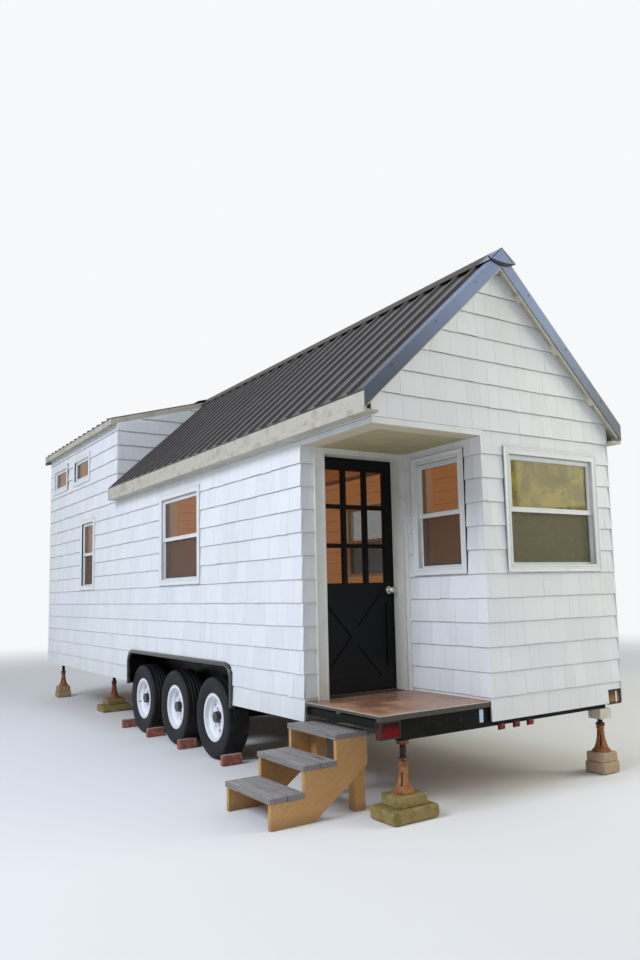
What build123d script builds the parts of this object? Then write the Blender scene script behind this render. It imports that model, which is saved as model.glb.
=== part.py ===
from build123d import *
from math import atan, cos, degrees, radians, sin, sqrt
import os

# A tiny house on a triple-axle trailer, parked on screw jacks. Millimetres, +Z up.
# The porch gable faces -Y, the trailer's tongue points to +Y, and the ground is z = 0.

# House body
house_width = 2586.0
house_length = 9272.0
wall_thickness = 163.0
skirt_thickness = 24.0
skirt_bottom = 572.0
frame_top = 684.0
floor_top = 724.0
deck_thickness = 24.0
header_height = 218.0
soffit_drop = 159.0

# Roof
roof_slope = 0.94
roof_thickness = 84.0
eave_overhang = 120.0
rake_overhang = 86.0
dormer_start = 5805.0
dormer_slope = 0.28
dormer_overhang = 90.0
rib_spacing = 229.0
rib_height = 19.0
rib_base = 44.0
rib_crown = 24.0
trim_sheet = 6.0
trim_face = 140.0
trim_flange = 90.0
cap_width = 160.0
cap_overhang = 14.0
fascia_thickness = 20.0

# Porch, cut out of the left corner of the gable end
porch_depth = 1034.0
ceiling_thickness = 49.0

# Windows: outer casing sizes and the places of their centres
casing_width = 62.0
casing_proud = 20.0
lining_thickness = 18.0
sash_stile = 38.0
sash_thickness = 34.0
sash_gap = 3.0
glass_thickness = 5.0
window_height = 1020.0
window_drop = 64.0
wide_window = 1130.0
narrow_window = 676.0
bay_window_shift = 20.5
porch_window_along = 541.0
side_wide_along = 3635.0
side_narrow_along = 7088.0
dormer_window_width = 860.0
dormer_window_height = 420.0
dormer_window_drop = 190.0
dormer_windows_from_rear = (1822.0, 632.0)

# Entrance door, hung on the left and opening inwards
door_left = 207.0
door_width = 813.0
door_height = 2026.0
door_thickness = 44.0
door_gap = 5.0
floor_gap = 7.0
jamb_thickness = 22.0
head_gap = 7.0
side_gap = 10.0
casing_side = 87.0
stop_overlap = 12.0
stop_clearance = 5.0
lite_bottom = 1660.0
lite_top = 2640.0
lite_side = 94.0
muntin = 36.0
panel_bottom = 850.0
panel_top = 1560.0
panel_recess = 12.0
cross_bar = 95.0
knob_backset = 70.0
knob_height = 1592.0
hinge_radius = 7.0
hinge_height = 100.0
hinge_leaf = 2.0
hinge_clearance = 0.3
hinge_inset = 200.0
hinge_leaf_width = 30.0
rose_radius = 33.0
rose_thickness = 8.0
knob_neck_radius = 14.0
knob_neck_length = 24.0
knob_start = 30.0
knob_end = 66.0
knob_root = 12.0
knob_back = (18.0, 34.0)
knob_swell = (27.0, 52.0)
knob_face = 16.0

# Trailer
rail_height = 150.0
rail_width = 50.0
rail_inset = 330.0
steel = 8.0
side_rail_height = 60.0
side_rail_inset = 24.0
crossmember_height = 90.0
crossmember_width = 45.0
crossmember_spacing = 610.0
beam_depth = 60.0
light_width = 170.0
light_gap = 10.0
light_depth = 58.0
light_bottom = 560.0
tongue_reach = 1350.0
coupler_height = 600.0
coupler_length = 300.0
ball_radius = 30.0
side_rail_width = 40.0
well_frame_gap = 10.0
tongue_below = 60.0
tongue_above = 40.0
tongue_bar = 70.0
tongue_slit = 2.0
tongue_tip = 30.0
coupler_half_width = 45.0
coupler_socket = 60.0
coupler_lift = 10.0

# Wheels
tyre_radius = 395.0
tyre_width = 225.0
tyre_inset = 24.0
bead_radius = 208.0
flange_radius = 236.0
rim_width = 178.0
rim_sheet = 6.0
seat_gap = 0.3
seat_step = 30.0
rim_well = 26.0
well_ramp = 20.0
wall_top = (16.0, 18.0)
shoulder = (24.0, 6.0)
crown_edge = (40.0, 3.0)
wheel_first = 2879.0
wheel_spacing = 1000.0
wheel_openings = 8
opening_circle = 141.0
opening_height = 44.0
opening_width = 50.0
opening_lean = 80.0
disc_edge_radius = 152.0
disc_bowl_radius = 106.0
disc_edge = 22.0
disc_bowl = 36.0
disc_sheet = 10.0
hub_radius = 60.0
hub_taper = 8.0
hub_reach = 45.0
hub_back = 40.0
hub_gap = 6.0
spindle_radius = 24.0
spindle_clearance = 0.1
axle_radius = 38.0
drum_radius = 150.0
drum_width = 55.0
spindle_length = 76.0

# Springs
spring_half = 350.0
spring_sag = 35.0
spring_width = 40.0
spring_lift = 7.0
spring_gap = 0.3
leaf_thickness = 8.0
leaf_shares = (1.0, 0.86, 0.62, 0.38)
pad_length = 90.0
eye_radius = 16.0
pin_radius = 8.0
cheek_thickness = 7.0
cheek_margin = 2.0
hanger_width = 110.0
equaliser_drop = 22.0
equaliser_radius = 24.0
clamp_rod = 6.0
clamp_plate = 8.0
clamp_gap = 1.0
well_start = 2330.0
well_end = 5285.0
well_top = 960.0
well_corner = 170.0
well_depth = 310.0
well_sheet = 5.0
arch_width = 45.0
arch_proud = 32.0
arch_round = 13.0
arch_foot = 545.0

# Jacks and blocks
jack_base_radius = 84.0
jack_neck_radius = 33.0
jack_base_height = 215.0
screw_radius = 24.0
jack_head_radius = 46.0
middle_jack = 6990.0
slab_height = 96.0
upper_block = 80.0
slab_half = (200.0, 150.0)
upper_half = (130.0, 110.0)
jack_foot = 14.0
jack_waist = (0.62, 70.0)
jack_neck_length = 30.0
jack_socket = 1.0
jack_rest = 30.0
collar_gap = 2.0
collar_step = 8.0
collar_height = 26.0
jack_head_height = 30.0

# Steps
step_reach = 674.0
step_rise = 180.0
step_run = 267.0
step_front = 366.0
tread_length = 700.0
nosing_reach = 10.0
tread_thickness = 38.0
tread_overhang = 4.0
stringer_depth = 205.0
stringer_foot = 350.0
board_gap = 5.0
step_clearance = 0.3
stringer_thickness = 38.0
post_width = 89.0

# Bricks lying by the tyres
brick_length = 203.0
brick_width = 64.0
brick_height = 98.0
brick_inset = 55.0
bricks_along = (2505.0, 3579.0, 4520.0, 5380.0)

# The frame: the origin is the middle of the bounding box on the ground
deck_top = floor_top
door_setback = wall_thickness - door_thickness
door_bottom = floor_top + floor_gap
frame_side = door_gap + jamb_thickness
frame_head = door_bottom + door_height + frame_side
ceiling_bottom = frame_head + head_gap
plate_top = ceiling_bottom + header_height
soffit_bottom = plate_top - soffit_drop
porch_width = door_left + door_width + frame_side + side_gap
beam_end = light_width + light_gap

# Roof planes, taken on the pans between the ribs
roof_angle = degrees(atan(roof_slope))
dormer_angle = degrees(atan(dormer_slope))
roof_drop = roof_thickness / cos(radians(roof_angle))
dormer_drop = roof_thickness / cos(radians(dormer_angle))
rib_reach = rib_height * sin(radians(roof_angle))
ridge_top = plate_top + roof_drop + roof_slope * house_width / 2
dormer_eave = ridge_top - dormer_slope * house_width / 2 - dormer_drop
window_middle = ceiling_bottom - window_drop - window_height / 2
dormer_window_middle = dormer_eave - dormer_window_drop - dormer_window_height / 2
bay_window_across = porch_width + (house_width - porch_width) / 2 + bay_window_shift
dormer_windows_along = [house_length - from_rear for from_rear in dormer_windows_from_rear]

x_left = (step_reach - house_width - eave_overhang - rib_reach) / 2
x_right = x_left + house_width
x_middle = x_left + house_width / 2
front_reach = rake_overhang + cap_overhang
y_front = (front_reach - house_length - tongue_reach) / 2
y_rear = y_front + house_length
y_door = y_front + porch_depth
x_bay = x_left + porch_width
y_dormer = y_front + dormer_start
x_inner_left = x_left + wall_thickness
x_inner_right = x_right - wall_thickness
y_inner_front = y_front + wall_thickness
y_inner_rear = y_rear - wall_thickness
spring_seat = tyre_radius + axle_radius + spring_lift


def roof_z(across, slope):
    """Height of the roof's top surface at a distance from the ridge line."""
    return ridge_top - slope * abs(across)


def span(low_a, high_a, low_b, high_b, mode=Mode.ADD):
    """A rectangle between two opposite corners of the active sketch."""
    with Locations(((low_a + high_a) / 2, (low_b + high_b) / 2)):
        Rectangle(high_a - low_a, high_b - low_b, mode=mode)


def block(low, high, mode=Mode.ADD):
    """A box between two opposite corners in the active part."""
    size = [b - a for a, b in zip(low, high)]
    centre = [(a + b) / 2 for a, b in zip(low, high)]
    with Locations(tuple(centre)):
        Box(*size, mode=mode)


def facing(direction, x, y, z):
    """A plane whose normal is the outward direction and whose local y is up."""
    normal = Vector(*direction)
    return Plane(origin=(x, y, z), x_dir=Vector(0, 0, 1).cross(normal), z_dir=normal)


# Each window is a plane on its wall's outer face with its casing's width and height
bay_windows = [
    (facing((0, -1, 0), x_left + bay_window_across, y_front, window_middle), wide_window, window_height)
]
porch_windows = [
    (facing((-1, 0, 0), x_bay, y_front + porch_window_along, window_middle), narrow_window, window_height)
]
side_windows = {}
dormer_window_places = {}
for side, wall_x in ((-1, x_left), (1, x_right)):
    side_windows[side] = [
        (facing((side, 0, 0), wall_x, y_front + along, window_middle), width, window_height)
        for along, width in ((side_wide_along, wide_window), (side_narrow_along, narrow_window))
    ]
    dormer_window_places[side] = [
        (
            facing((side, 0, 0), wall_x, y_front + along, dormer_window_middle),
            dormer_window_width,
            dormer_window_height,
        )
        for along in dormer_windows_along
    ]
rear_windows = [(facing((0, 1, 0), x_middle, y_rear, window_middle), wide_window, window_height)]


def cut_windows(places):
    """Cut the openings that the linings fill through the active wall."""
    for plane, width, height in places:
        with BuildSketch(plane) as opening:
            Rectangle(
                width - 2 * (casing_width - lining_thickness),
                height - 2 * (casing_width - lining_thickness),
            )
        extrude(opening.sketch, amount=-wall_thickness, mode=Mode.SUBTRACT)


def ring(plane, width, height, border, depth, centre=0.0):
    """A rectangular frame, as deep as given behind its plane."""
    with BuildSketch(plane) as border_sketch:
        with Locations((0, centre)):
            Rectangle(width, height)
            Rectangle(width - 2 * border, height - 2 * border, mode=Mode.SUBTRACT)
    extrude(border_sketch.sketch, amount=-depth)


def sash_sizes(width, height):
    """Width of a sash, and the height and middle of the upper and the lower one."""
    opening_width = width - 2 * casing_width
    opening_height = height - 2 * casing_width
    leaf = (opening_height + sash_stile) / 2
    middle = (opening_height - leaf) / 2
    return opening_width, leaf, middle


def add_window(plane, width, height, hung=True):
    """Casing, lining and sashes of one window in the active part."""
    ring(plane.offset(casing_proud), width, height, casing_width, casing_proud)
    outer_width = width - 2 * (casing_width - lining_thickness)
    outer_height = height - 2 * (casing_width - lining_thickness)
    ring(plane, outer_width, outer_height, lining_thickness, wall_thickness)
    sash_width, leaf, middle = sash_sizes(width, height)
    upper_depth = sash_gap
    lower_depth = sash_gap * 2 + sash_thickness
    if hung:
        ring(plane.offset(-upper_depth), sash_width, leaf, sash_stile, sash_thickness, middle)
        ring(plane.offset(-lower_depth), sash_width, leaf, sash_stile, sash_thickness, -middle)
    else:
        ring(
            plane.offset(-upper_depth),
            sash_width,
            height - 2 * casing_width,
            sash_stile,
            sash_thickness,
        )


def add_panes(plane, width, height, hung=True):
    """The panes of one window, held in its sashes, in the active part."""
    sash_width, leaf, middle = sash_sizes(width, height)
    pane_depth = sash_gap + (sash_thickness - glass_thickness) / 2
    lower_depth = pane_depth + sash_gap + sash_thickness
    if hung:
        panes = ((pane_depth, leaf, middle), (lower_depth, leaf, -middle))
    else:
        panes = ((pane_depth, height - 2 * casing_width, 0.0),)
    for depth, leaf_height, centre in panes:
        with BuildSketch(plane.offset(-depth)) as pane:
            with Locations((0, centre)):
                Rectangle(sash_width - 2 * sash_stile, leaf_height - 2 * sash_stile)
        extrude(pane.sketch, amount=-glass_thickness)


parts = {}


def keep(name, builder):
    """Label a finished piece and list it for export."""
    builder.part.label = name
    parts[name] = builder.part


# Gable end: the wall under the porch ceiling's height stands only beside the porch
with BuildPart() as bay_front_wall:
    block((x_bay, y_front, frame_top), (x_right, y_front + wall_thickness, ceiling_bottom))
    block(
        (x_bay, y_front, skirt_bottom),
        (x_right - light_width, y_front + skirt_thickness, frame_top),
    )
    cut_windows(bay_windows)
keep("bay_front_wall", bay_front_wall)


def under_roof(low, reach_left, reach_right, slope):
    """Outline from a level line up to the underside of a pair of roof slopes."""
    drop = roof_thickness / cos(atan(slope))
    with BuildLine() as outline:
        Polyline(
            (reach_left, low),
            (reach_right, low),
            (reach_right, roof_z(reach_right - x_middle, slope) - drop),
            (x_middle, ridge_top - drop),
            (reach_left, roof_z(reach_left - x_middle, slope) - drop),
            close=True,
        )
    make_face(outline.edges())


with BuildPart() as front_gable:
    with BuildSketch(Plane.XZ.offset(-y_front)):
        under_roof(ceiling_bottom, x_left, x_right, roof_slope)
    extrude(amount=-wall_thickness)
keep("front_gable", front_gable)

with BuildPart() as porch_side_wall:
    block((x_bay, y_inner_front, frame_top), (x_bay + wall_thickness, y_door, ceiling_bottom))
    cut_windows(porch_windows)
keep("porch_side_wall", porch_side_wall)

# The wall behind the porch, split beside and over the doorway
frame_left = x_left + door_left - frame_side
frame_right = x_left + door_left + door_width + frame_side

with BuildPart() as door_wall_left:
    block((x_left, y_door, frame_top), (frame_left, y_door + wall_thickness, ceiling_bottom))
    block((x_left, y_door, skirt_bottom), (x_left + skirt_thickness, y_door + wall_thickness, frame_top))
keep("door_wall_left", door_wall_left)

with BuildPart() as door_wall_right:
    block((frame_right, y_door, frame_top), (x_bay + wall_thickness, y_door + wall_thickness, ceiling_bottom))
keep("door_wall_right", door_wall_right)

with BuildPart() as door_wall_head:
    block((frame_left, y_door, frame_head), (frame_right, y_door + wall_thickness, ceiling_bottom))
    block((x_inner_left, y_door, ceiling_bottom), (x_bay + wall_thickness, y_door + wall_thickness, plate_top))
keep("door_wall_head", door_wall_head)

with BuildPart() as porch_header:
    block((x_left, y_inner_front, ceiling_bottom), (x_inner_left, y_door + wall_thickness, plate_top))
keep("porch_header", porch_header)

with BuildPart() as porch_ceiling:
    block(
        (x_inner_left, y_inner_front, ceiling_bottom),
        (x_bay + wall_thickness, y_door, ceiling_bottom + ceiling_thickness),
    )
keep("porch_ceiling", porch_ceiling)


def well_outline(inset=0.0):
    """The wheel well's rounded outline on a side wall, drawn in along and up."""
    low = skirt_bottom - 1
    with BuildSketch(mode=Mode.PRIVATE) as outline:
        span(
            y_front + well_start + inset,
            y_front + well_end - inset,
            low - well_corner,
            well_top - inset,
        )
        corners = outline.vertices().group_by(Axis.Y)[-1]
        fillet(corners, radius=well_corner - inset)
    add(outline.sketch)


# Long walls, from the porch (left) or the gable wall (right) to the rear wall
for name, side, wall_x, start in (
    ("left_wall", -1, x_left, y_door + wall_thickness),
    ("right_wall", 1, x_right, y_inner_front),
):
    with BuildPart() as long_wall:
        with BuildSketch(Plane.YZ.offset(wall_x)):
            span(start, y_inner_rear, frame_top, plate_top)
        extrude(amount=-side * wall_thickness)
        with BuildSketch(Plane.YZ.offset(wall_x)):
            span(start, y_inner_rear, skirt_bottom, frame_top)
        extrude(amount=-side * skirt_thickness)
        with BuildSketch(Plane.YZ.offset(wall_x)):
            well_outline()
        extrude(amount=-side * wall_thickness, mode=Mode.SUBTRACT)
        cut_windows(side_windows[side])
    keep(name, long_wall)

with BuildPart() as rear_wall:
    with BuildSketch(Plane.XZ.offset(-y_rear)):
        under_roof(frame_top, x_left, x_right, dormer_slope)
    extrude(amount=wall_thickness)
    cut_windows(rear_windows)
keep("rear_wall", rear_wall)

# Dormers: a side wall flush with the long wall, and a cheek facing the porch end
for name, side, wall_x in (("left_dormer", -1, x_left), ("right_dormer", 1, x_right)):
    inner_x = wall_x - side * wall_thickness
    with BuildPart() as dormer:
        with BuildSketch(Plane.XZ.offset(-y_dormer)):
            with BuildLine():
                Polyline(
                    (wall_x, plate_top),
                    (inner_x, plate_top),
                    (inner_x, roof_z(inner_x - x_middle, roof_slope) - roof_drop),
                    (x_middle, ridge_top - roof_drop),
                    (x_middle, ridge_top - dormer_drop),
                    (wall_x, dormer_eave),
                    close=True,
                )
            make_face()
        extrude(amount=-wall_thickness)
        inner_z = roof_z(inner_x - x_middle, dormer_slope) - dormer_drop
        with BuildSketch(Plane.XZ.offset(-y_dormer)):
            with BuildLine():
                Polyline(
                    (wall_x, plate_top),
                    (inner_x, plate_top),
                    (inner_x, inner_z),
                    (wall_x, dormer_eave),
                    close=True,
                )
            make_face()
        extrude(amount=-(y_inner_rear - y_dormer))
        cut_windows(dormer_window_places[side])
    keep(name + "_walls", dormer)


def rib_row(origin, angle, side, start, end, length):
    """Ribs of the metal roofing, running up the slope from the eave."""
    slope = radians(angle)
    plane = Plane(
        origin=origin,
        x_dir=(0, -side, 0),
        z_dir=(-side * cos(slope), 0, sin(slope)),
    )
    field = end - start - 2 * trim_flange - rib_base
    count = int(field // rib_spacing)
    first = (start + end - count * rib_spacing) / 2
    with BuildSketch(plane) as ribs:
        places = [(-side * (first + i * rib_spacing), 0) for i in range(count + 1)]
        flank = degrees(atan(2 * rib_height / (rib_base - rib_crown)))
        with Locations(*places):
            Trapezoid(rib_base, rib_height, flank, align=(Align.CENTER, Align.MIN))
    extrude(ribs.sketch, amount=length)


def roof_slab(side, slope, overhang, start, end):
    """One roof slope with its ribbed metal, from the ridge line to the eave."""
    drop = roof_thickness / cos(atan(slope))
    reach = house_width / 2 + overhang
    edge_x = x_middle + side * reach
    with BuildSketch(Plane.XZ.offset(-start)) as section:
        with BuildLine():
            Polyline(
                (x_middle, ridge_top),
                (x_middle, ridge_top - drop),
                (edge_x, roof_z(reach, slope) - drop),
                (edge_x, roof_z(reach, slope)),
                close=True,
            )
        make_face()
    extrude(section.sketch, amount=-(end - start))
    angle = degrees(atan(slope))
    length = reach / cos(radians(angle)) - cap_width / 2
    rib_row((edge_x, 0, roof_z(reach, slope)), angle, side, start, end, length)


roof_front = y_front - rake_overhang + trim_sheet
roof_rear = y_rear + rake_overhang - trim_sheet
for name, side in (("left_roof", -1), ("right_roof", 1)):
    with BuildPart() as main_roof:
        roof_slab(side, roof_slope, eave_overhang, roof_front, y_dormer)
    keep(name, main_roof)
for name, side in (("left_dormer_roof", -1), ("right_dormer_roof", 1)):
    with BuildPart() as low_roof:
        roof_slab(side, dormer_slope, dormer_overhang, y_dormer, roof_rear)
    keep(name, low_roof)

# Ridge cap: a folded sheet that lies on the ribs
with BuildPart() as ridge_cap:
    for slope, start, end in (
        (roof_slope, y_front - front_reach, y_dormer),
        (dormer_slope, y_dormer, y_rear + rake_overhang),
    ):
        lift = rib_height / cos(atan(slope))
        sheet = trim_sheet / cos(atan(slope))
        half = cap_width * cos(atan(slope))
        with BuildSketch(Plane.XZ.offset(-start)):
            with BuildLine():
                Polyline(
                    (x_middle - half, ridge_top + lift - slope * half),
                    (x_middle, ridge_top + lift),
                    (x_middle + half, ridge_top + lift - slope * half),
                    (x_middle + half, ridge_top + lift + sheet - slope * half),
                    (x_middle, ridge_top + lift + sheet),
                    (x_middle - half, ridge_top + lift + sheet - slope * half),
                    close=True,
                )
            make_face()
        extrude(amount=-(end - start))
keep("ridge_cap", ridge_cap)


def rake_sheet(side, slope, overhang, face_y, outward):
    """Folded metal over a roof's sloping edge: a face and a flange on top."""
    reach = house_width / 2 + overhang
    edge_x = x_middle + side * reach
    sheet = trim_sheet / cos(atan(slope))
    with BuildSketch(Plane.XZ.offset(-face_y)) as face:
        with BuildLine():
            Polyline(
                (x_middle, ridge_top + sheet),
                (x_middle, ridge_top + sheet - trim_face),
                (edge_x, roof_z(reach, slope) + sheet - trim_face),
                (edge_x, roof_z(reach, slope) + sheet),
                close=True,
            )
        make_face()
    extrude(face.sketch, amount=outward * trim_sheet)
    with BuildSketch(Plane.XZ.offset(-face_y)) as flange:
        with BuildLine():
            Polyline(
                (x_middle, ridge_top + sheet),
                (x_middle, ridge_top),
                (edge_x, roof_z(reach, slope)),
                (edge_x, roof_z(reach, slope) + sheet),
                close=True,
            )
        make_face()
    extrude(flange.sketch, amount=-outward * trim_flange)


with BuildPart() as rake_trim:
    for side in (-1, 1):
        rake_sheet(side, roof_slope, eave_overhang, roof_front, 1)
        rake_sheet(side, dormer_slope, dormer_overhang, roof_rear, -1)
keep("rake_trim", rake_trim)

# Eaves: a fascia board with a soffit back to the wall, on each side
with BuildPart() as eave_trim:
    for side, wall_x in ((-1, x_left), (1, x_right)):
        reach = eave_overhang
        outer = wall_x + side * reach
        inner = outer - side * fascia_thickness
        edge_z = roof_z(house_width / 2 + reach, roof_slope) - roof_drop
        inner_edge_z = roof_z(house_width / 2 + reach - fascia_thickness, roof_slope) - roof_drop
        with BuildSketch(Plane.XZ.offset(-roof_front)):
            with BuildLine():
                Polyline(
                    (outer, edge_z),
                    (outer, soffit_bottom),
                    (wall_x, soffit_bottom),
                    (wall_x, soffit_bottom + fascia_thickness),
                    (inner, soffit_bottom + fascia_thickness),
                    (inner, inner_edge_z),
                    close=True,
                )
            make_face()
        extrude(amount=-(y_dormer - roof_front))
keep("eave_trim", eave_trim)

# Windows and their glass
for name, places in (
    ("bay_window", bay_windows),
    ("porch_window", porch_windows),
    ("left_windows", side_windows[-1]),
    ("right_windows", side_windows[1]),
    ("rear_window", rear_windows),
):
    with BuildPart() as window_frames:
        for place in places:
            add_window(*place)
    keep(name, window_frames)

with BuildPart() as dormer_windows:
    for side in (-1, 1):
        for place in dormer_window_places[side]:
            add_window(*place, hung=False)
keep("dormer_windows", dormer_windows)

with BuildPart() as window_glass:
    for places in (bay_windows, porch_windows, side_windows[-1], side_windows[1], rear_windows):
        for place in places:
            add_panes(*place)
    for side in (-1, 1):
        for place in dormer_window_places[side]:
            add_panes(*place, hung=False)
keep("window_glass", window_glass)

# Floor and porch deck
with BuildPart() as floor:
    with BuildSketch(Plane.XY.offset(frame_top)):
        span(x_inner_left, x_inner_right, y_door + wall_thickness, y_inner_rear)
        span(x_bay + wall_thickness, x_inner_right, y_inner_front, y_door + wall_thickness)
        for side, wall_x in ((-1, x_left), (1, x_right)):
            inner = wall_x - side * well_depth
            span(
                min(wall_x, inner),
                max(wall_x, inner),
                y_front + well_start,
                y_front + well_end,
                mode=Mode.SUBTRACT,
            )
    extrude(amount=floor_top - frame_top)
keep("floor", floor)

with BuildPart() as porch_deck:
    with BuildSketch(Plane.XY.offset(deck_top - deck_thickness)):
        span(x_left, x_bay, y_front, y_door)
    extrude(amount=deck_thickness)
    for joist_y in (y_front, y_front + porch_depth / 2, y_door - rail_width):
        block((x_left, joist_y, frame_top), (x_bay, joist_y + rail_width, deck_top - deck_thickness))
keep("porch_deck", porch_deck)

# Entrance door
slab_left = x_left + door_left
slab_right = slab_left + door_width
slab_front = y_door + door_setback
slab_back = slab_front + door_thickness
slab_top = door_bottom + door_height
door_plane = facing((0, -1, 0), 0, slab_front, 0)

with BuildPart() as door_frame:
    with BuildSketch(facing((0, -1, 0), 0, y_door, 0)):
        span(frame_left, frame_right, deck_top, frame_head)
        span(
            frame_left + jamb_thickness,
            frame_right - jamb_thickness,
            deck_top,
            frame_head - jamb_thickness,
            mode=Mode.SUBTRACT,
        )
    extrude(amount=-wall_thickness)
    with BuildSketch(facing((0, -1, 0), 0, y_door, 0)):
        span(frame_left, frame_right, deck_top, frame_head)
        span(
            slab_left + stop_overlap,
            slab_right - stop_overlap,
            deck_top,
            slab_top - stop_overlap,
            mode=Mode.SUBTRACT,
        )
    extrude(amount=-(door_setback - stop_clearance))
    with BuildSketch(facing((0, -1, 0), 0, y_door, 0)):
        span(x_left + door_left - casing_side, x_bay, deck_top, ceiling_bottom)
        span(
            slab_left + stop_overlap,
            slab_right - stop_overlap,
            deck_top,
            slab_top - stop_overlap,
            mode=Mode.SUBTRACT,
        )
    extrude(amount=casing_proud)
    block(
        (frame_left, y_door, frame_top),
        (frame_right, y_door + wall_thickness, deck_top),
    )
keep("door_frame", door_frame)

pane_width = (door_width - 2 * lite_side - 2 * muntin) / 3
pane_height = (lite_top - lite_bottom - 2 * muntin) / 3
lite_centre = (slab_left + door_width / 2, (lite_bottom + lite_top) / 2)
panel_width = door_width - 2 * lite_side
panel_height = panel_top - panel_bottom

with BuildPart() as door_slab:
    with BuildSketch(door_plane):
        span(slab_left, slab_right, door_bottom, slab_top)
        with Locations(lite_centre):
            with GridLocations(pane_width + muntin, pane_height + muntin, 3, 3):
                Rectangle(pane_width, pane_height, mode=Mode.SUBTRACT)
    extrude(amount=-door_thickness)
    with BuildSketch(door_plane):
        panel_centre = (slab_left + door_width / 2, (panel_bottom + panel_top) / 2)
        with Locations(panel_centre):
            Rectangle(panel_width, panel_height)
            diagonal = sqrt(panel_width**2 + panel_height**2)
            lean = degrees(atan(panel_height / panel_width))
            with Locations(Rotation(0, 0, lean), Rotation(0, 0, -lean)):
                Rectangle(2 * diagonal, cross_bar, mode=Mode.SUBTRACT)
    extrude(amount=-panel_recess, mode=Mode.SUBTRACT)
keep("door_slab", door_slab)

with BuildPart() as door_glass:
    with BuildSketch(door_plane.offset(-(door_thickness - glass_thickness) / 2)):
        with Locations(lite_centre):
            with GridLocations(pane_width + muntin, pane_height + muntin, 3, 3):
                Rectangle(pane_width, pane_height)
    extrude(amount=-glass_thickness)
keep("door_glass", door_glass)

# Hinge barrels stand proud of the room side; their leaves lie in the gap by the jamb
pin_x = slab_left - door_gap / 2
pin_y = slab_back + hinge_radius + hinge_clearance
with BuildPart() as door_hardware:
    for direction, face in ((-1, slab_front), (1, slab_back)):
        knob_plane = Plane(
            origin=(slab_right - knob_backset, face, knob_height),
            x_dir=(1, 0, 0),
            z_dir=(0, direction, 0),
        )
        with BuildSketch(knob_plane):
            Circle(rose_radius)
        extrude(amount=rose_thickness)
        with BuildSketch(knob_plane.offset(rose_thickness)):
            Circle(knob_neck_radius)
        extrude(amount=knob_neck_length)
        with BuildSketch(Plane(origin=knob_plane.origin, x_dir=(1, 0, 0), z_dir=(0, 0, 1))):
            with BuildLine():
                start_y = direction * knob_start
                end_y = direction * knob_end
                swell = (knob_swell[0], direction * knob_swell[1])
                back = (knob_back[0], direction * knob_back[1])
                Polyline((0, start_y), (0, end_y))
                Line((0, end_y), (knob_face, end_y))
                ThreePointArc((knob_face, end_y), swell, back)
                Line(back, (knob_root, start_y))
                Line((knob_root, start_y), (0, start_y))
            make_face()
        revolve(axis=Axis(knob_plane.origin, (0, 1, 0)))
    for hinge_z in (door_bottom + hinge_inset, door_bottom + door_height / 2, slab_top - hinge_inset):
        with BuildSketch(Plane.XY.offset(hinge_z - hinge_height / 2)):
            with Locations((pin_x, pin_y)):
                Circle(hinge_radius)
            span(slab_left - hinge_leaf, slab_left, slab_back - hinge_leaf_width, pin_y)
        extrude(amount=hinge_height)
keep("door_hardware", door_hardware)

# Trailer frame
rail_low = frame_top - rail_height
beam_face = y_front + skirt_thickness
rail_start = beam_face + beam_depth
rail_end = y_rear - beam_depth


def channel(low, high, open_to, mode=Mode.ADD):
    """A steel channel between two corners, hollowed from the side it opens to."""
    block(low, high, mode)
    inner_low = list(low)
    inner_high = list(high)
    inner_low[2] += steel
    inner_high[2] -= steel
    axis = 0 if open_to[0] else 1
    if open_to[axis] > 0:
        inner_low[axis] += steel
    else:
        inner_high[axis] -= steel
    block(inner_low, inner_high, Mode.SUBTRACT)


with BuildPart() as chassis_rails:
    for side, wall_x in ((-1, x_left), (1, x_right)):
        near = wall_x - side * rail_inset
        far = near - side * rail_width
        channel(
            (min(near, far), rail_start, rail_low),
            (max(near, far), rail_end, frame_top),
            (-side, 0, 0),
        )
    channel((x_left + beam_end, beam_face, rail_low), (x_right - beam_end, rail_start, frame_top), (0, 1, 0))
    channel((x_left + beam_end, rail_end, rail_low), (x_right - beam_end, y_rear, frame_top), (0, -1, 0))
keep("chassis_rails", chassis_rails)

side_rail_low = frame_top - side_rail_height
cross_low = frame_top - crossmember_height
inner_rail_left = x_left + rail_inset + rail_width
inner_rail_right = x_right - rail_inset - rail_width
cross_count = int((rail_end - rail_start - crossmember_width) // crossmember_spacing)
with BuildPart() as cross_members:
    for i in range(1, cross_count + 1):
        place = rail_start + i * crossmember_spacing
        channel(
            (inner_rail_left, place, cross_low),
            (inner_rail_right, place + crossmember_width, frame_top),
            (0, 1, 0),
        )
    for side, wall_x in ((-1, x_left), (1, x_right)):
        outer = wall_x - side * side_rail_inset
        inner = wall_x - side * rail_inset
        for start, end in ((rail_start, y_front + well_start - well_frame_gap), (y_front + well_end + well_frame_gap, rail_end)):
            block(
                (min(outer, outer - side * side_rail_width), start, side_rail_low),
                (max(outer, outer - side * side_rail_width), end, frame_top),
            )
            arms = int((end - start - crossmember_width) // crossmember_spacing)
            for i in range(arms + 1):
                arm = start + i * crossmember_spacing
                block(
                    (min(outer, inner), arm, side_rail_low),
                    (max(outer, inner), arm + crossmember_width, frame_top),
                )
keep("cross_members", cross_members)

tongue_low = coupler_height - tongue_below
tongue_top = coupler_height + tongue_above
with BuildPart() as tongue:
    for side, wall_x in ((-1, x_left), (1, x_right)):
        start_x = wall_x - side * (rail_inset + rail_width / 2)
        tip_y = y_rear + tongue_reach - coupler_length
        with BuildSketch(Plane.XY.offset(tongue_low)):
            with BuildLine():
                Polyline(
                    (start_x, y_rear),
                    (start_x - side * tongue_bar, y_rear),
                    (x_middle + side * tongue_slit, tip_y - tongue_tip),
                    (x_middle + side * tongue_slit, tip_y + tongue_bar),
                    close=True,
                )
            make_face()
        extrude(amount=tongue_top - tongue_low)
keep("tongue", tongue)

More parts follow.
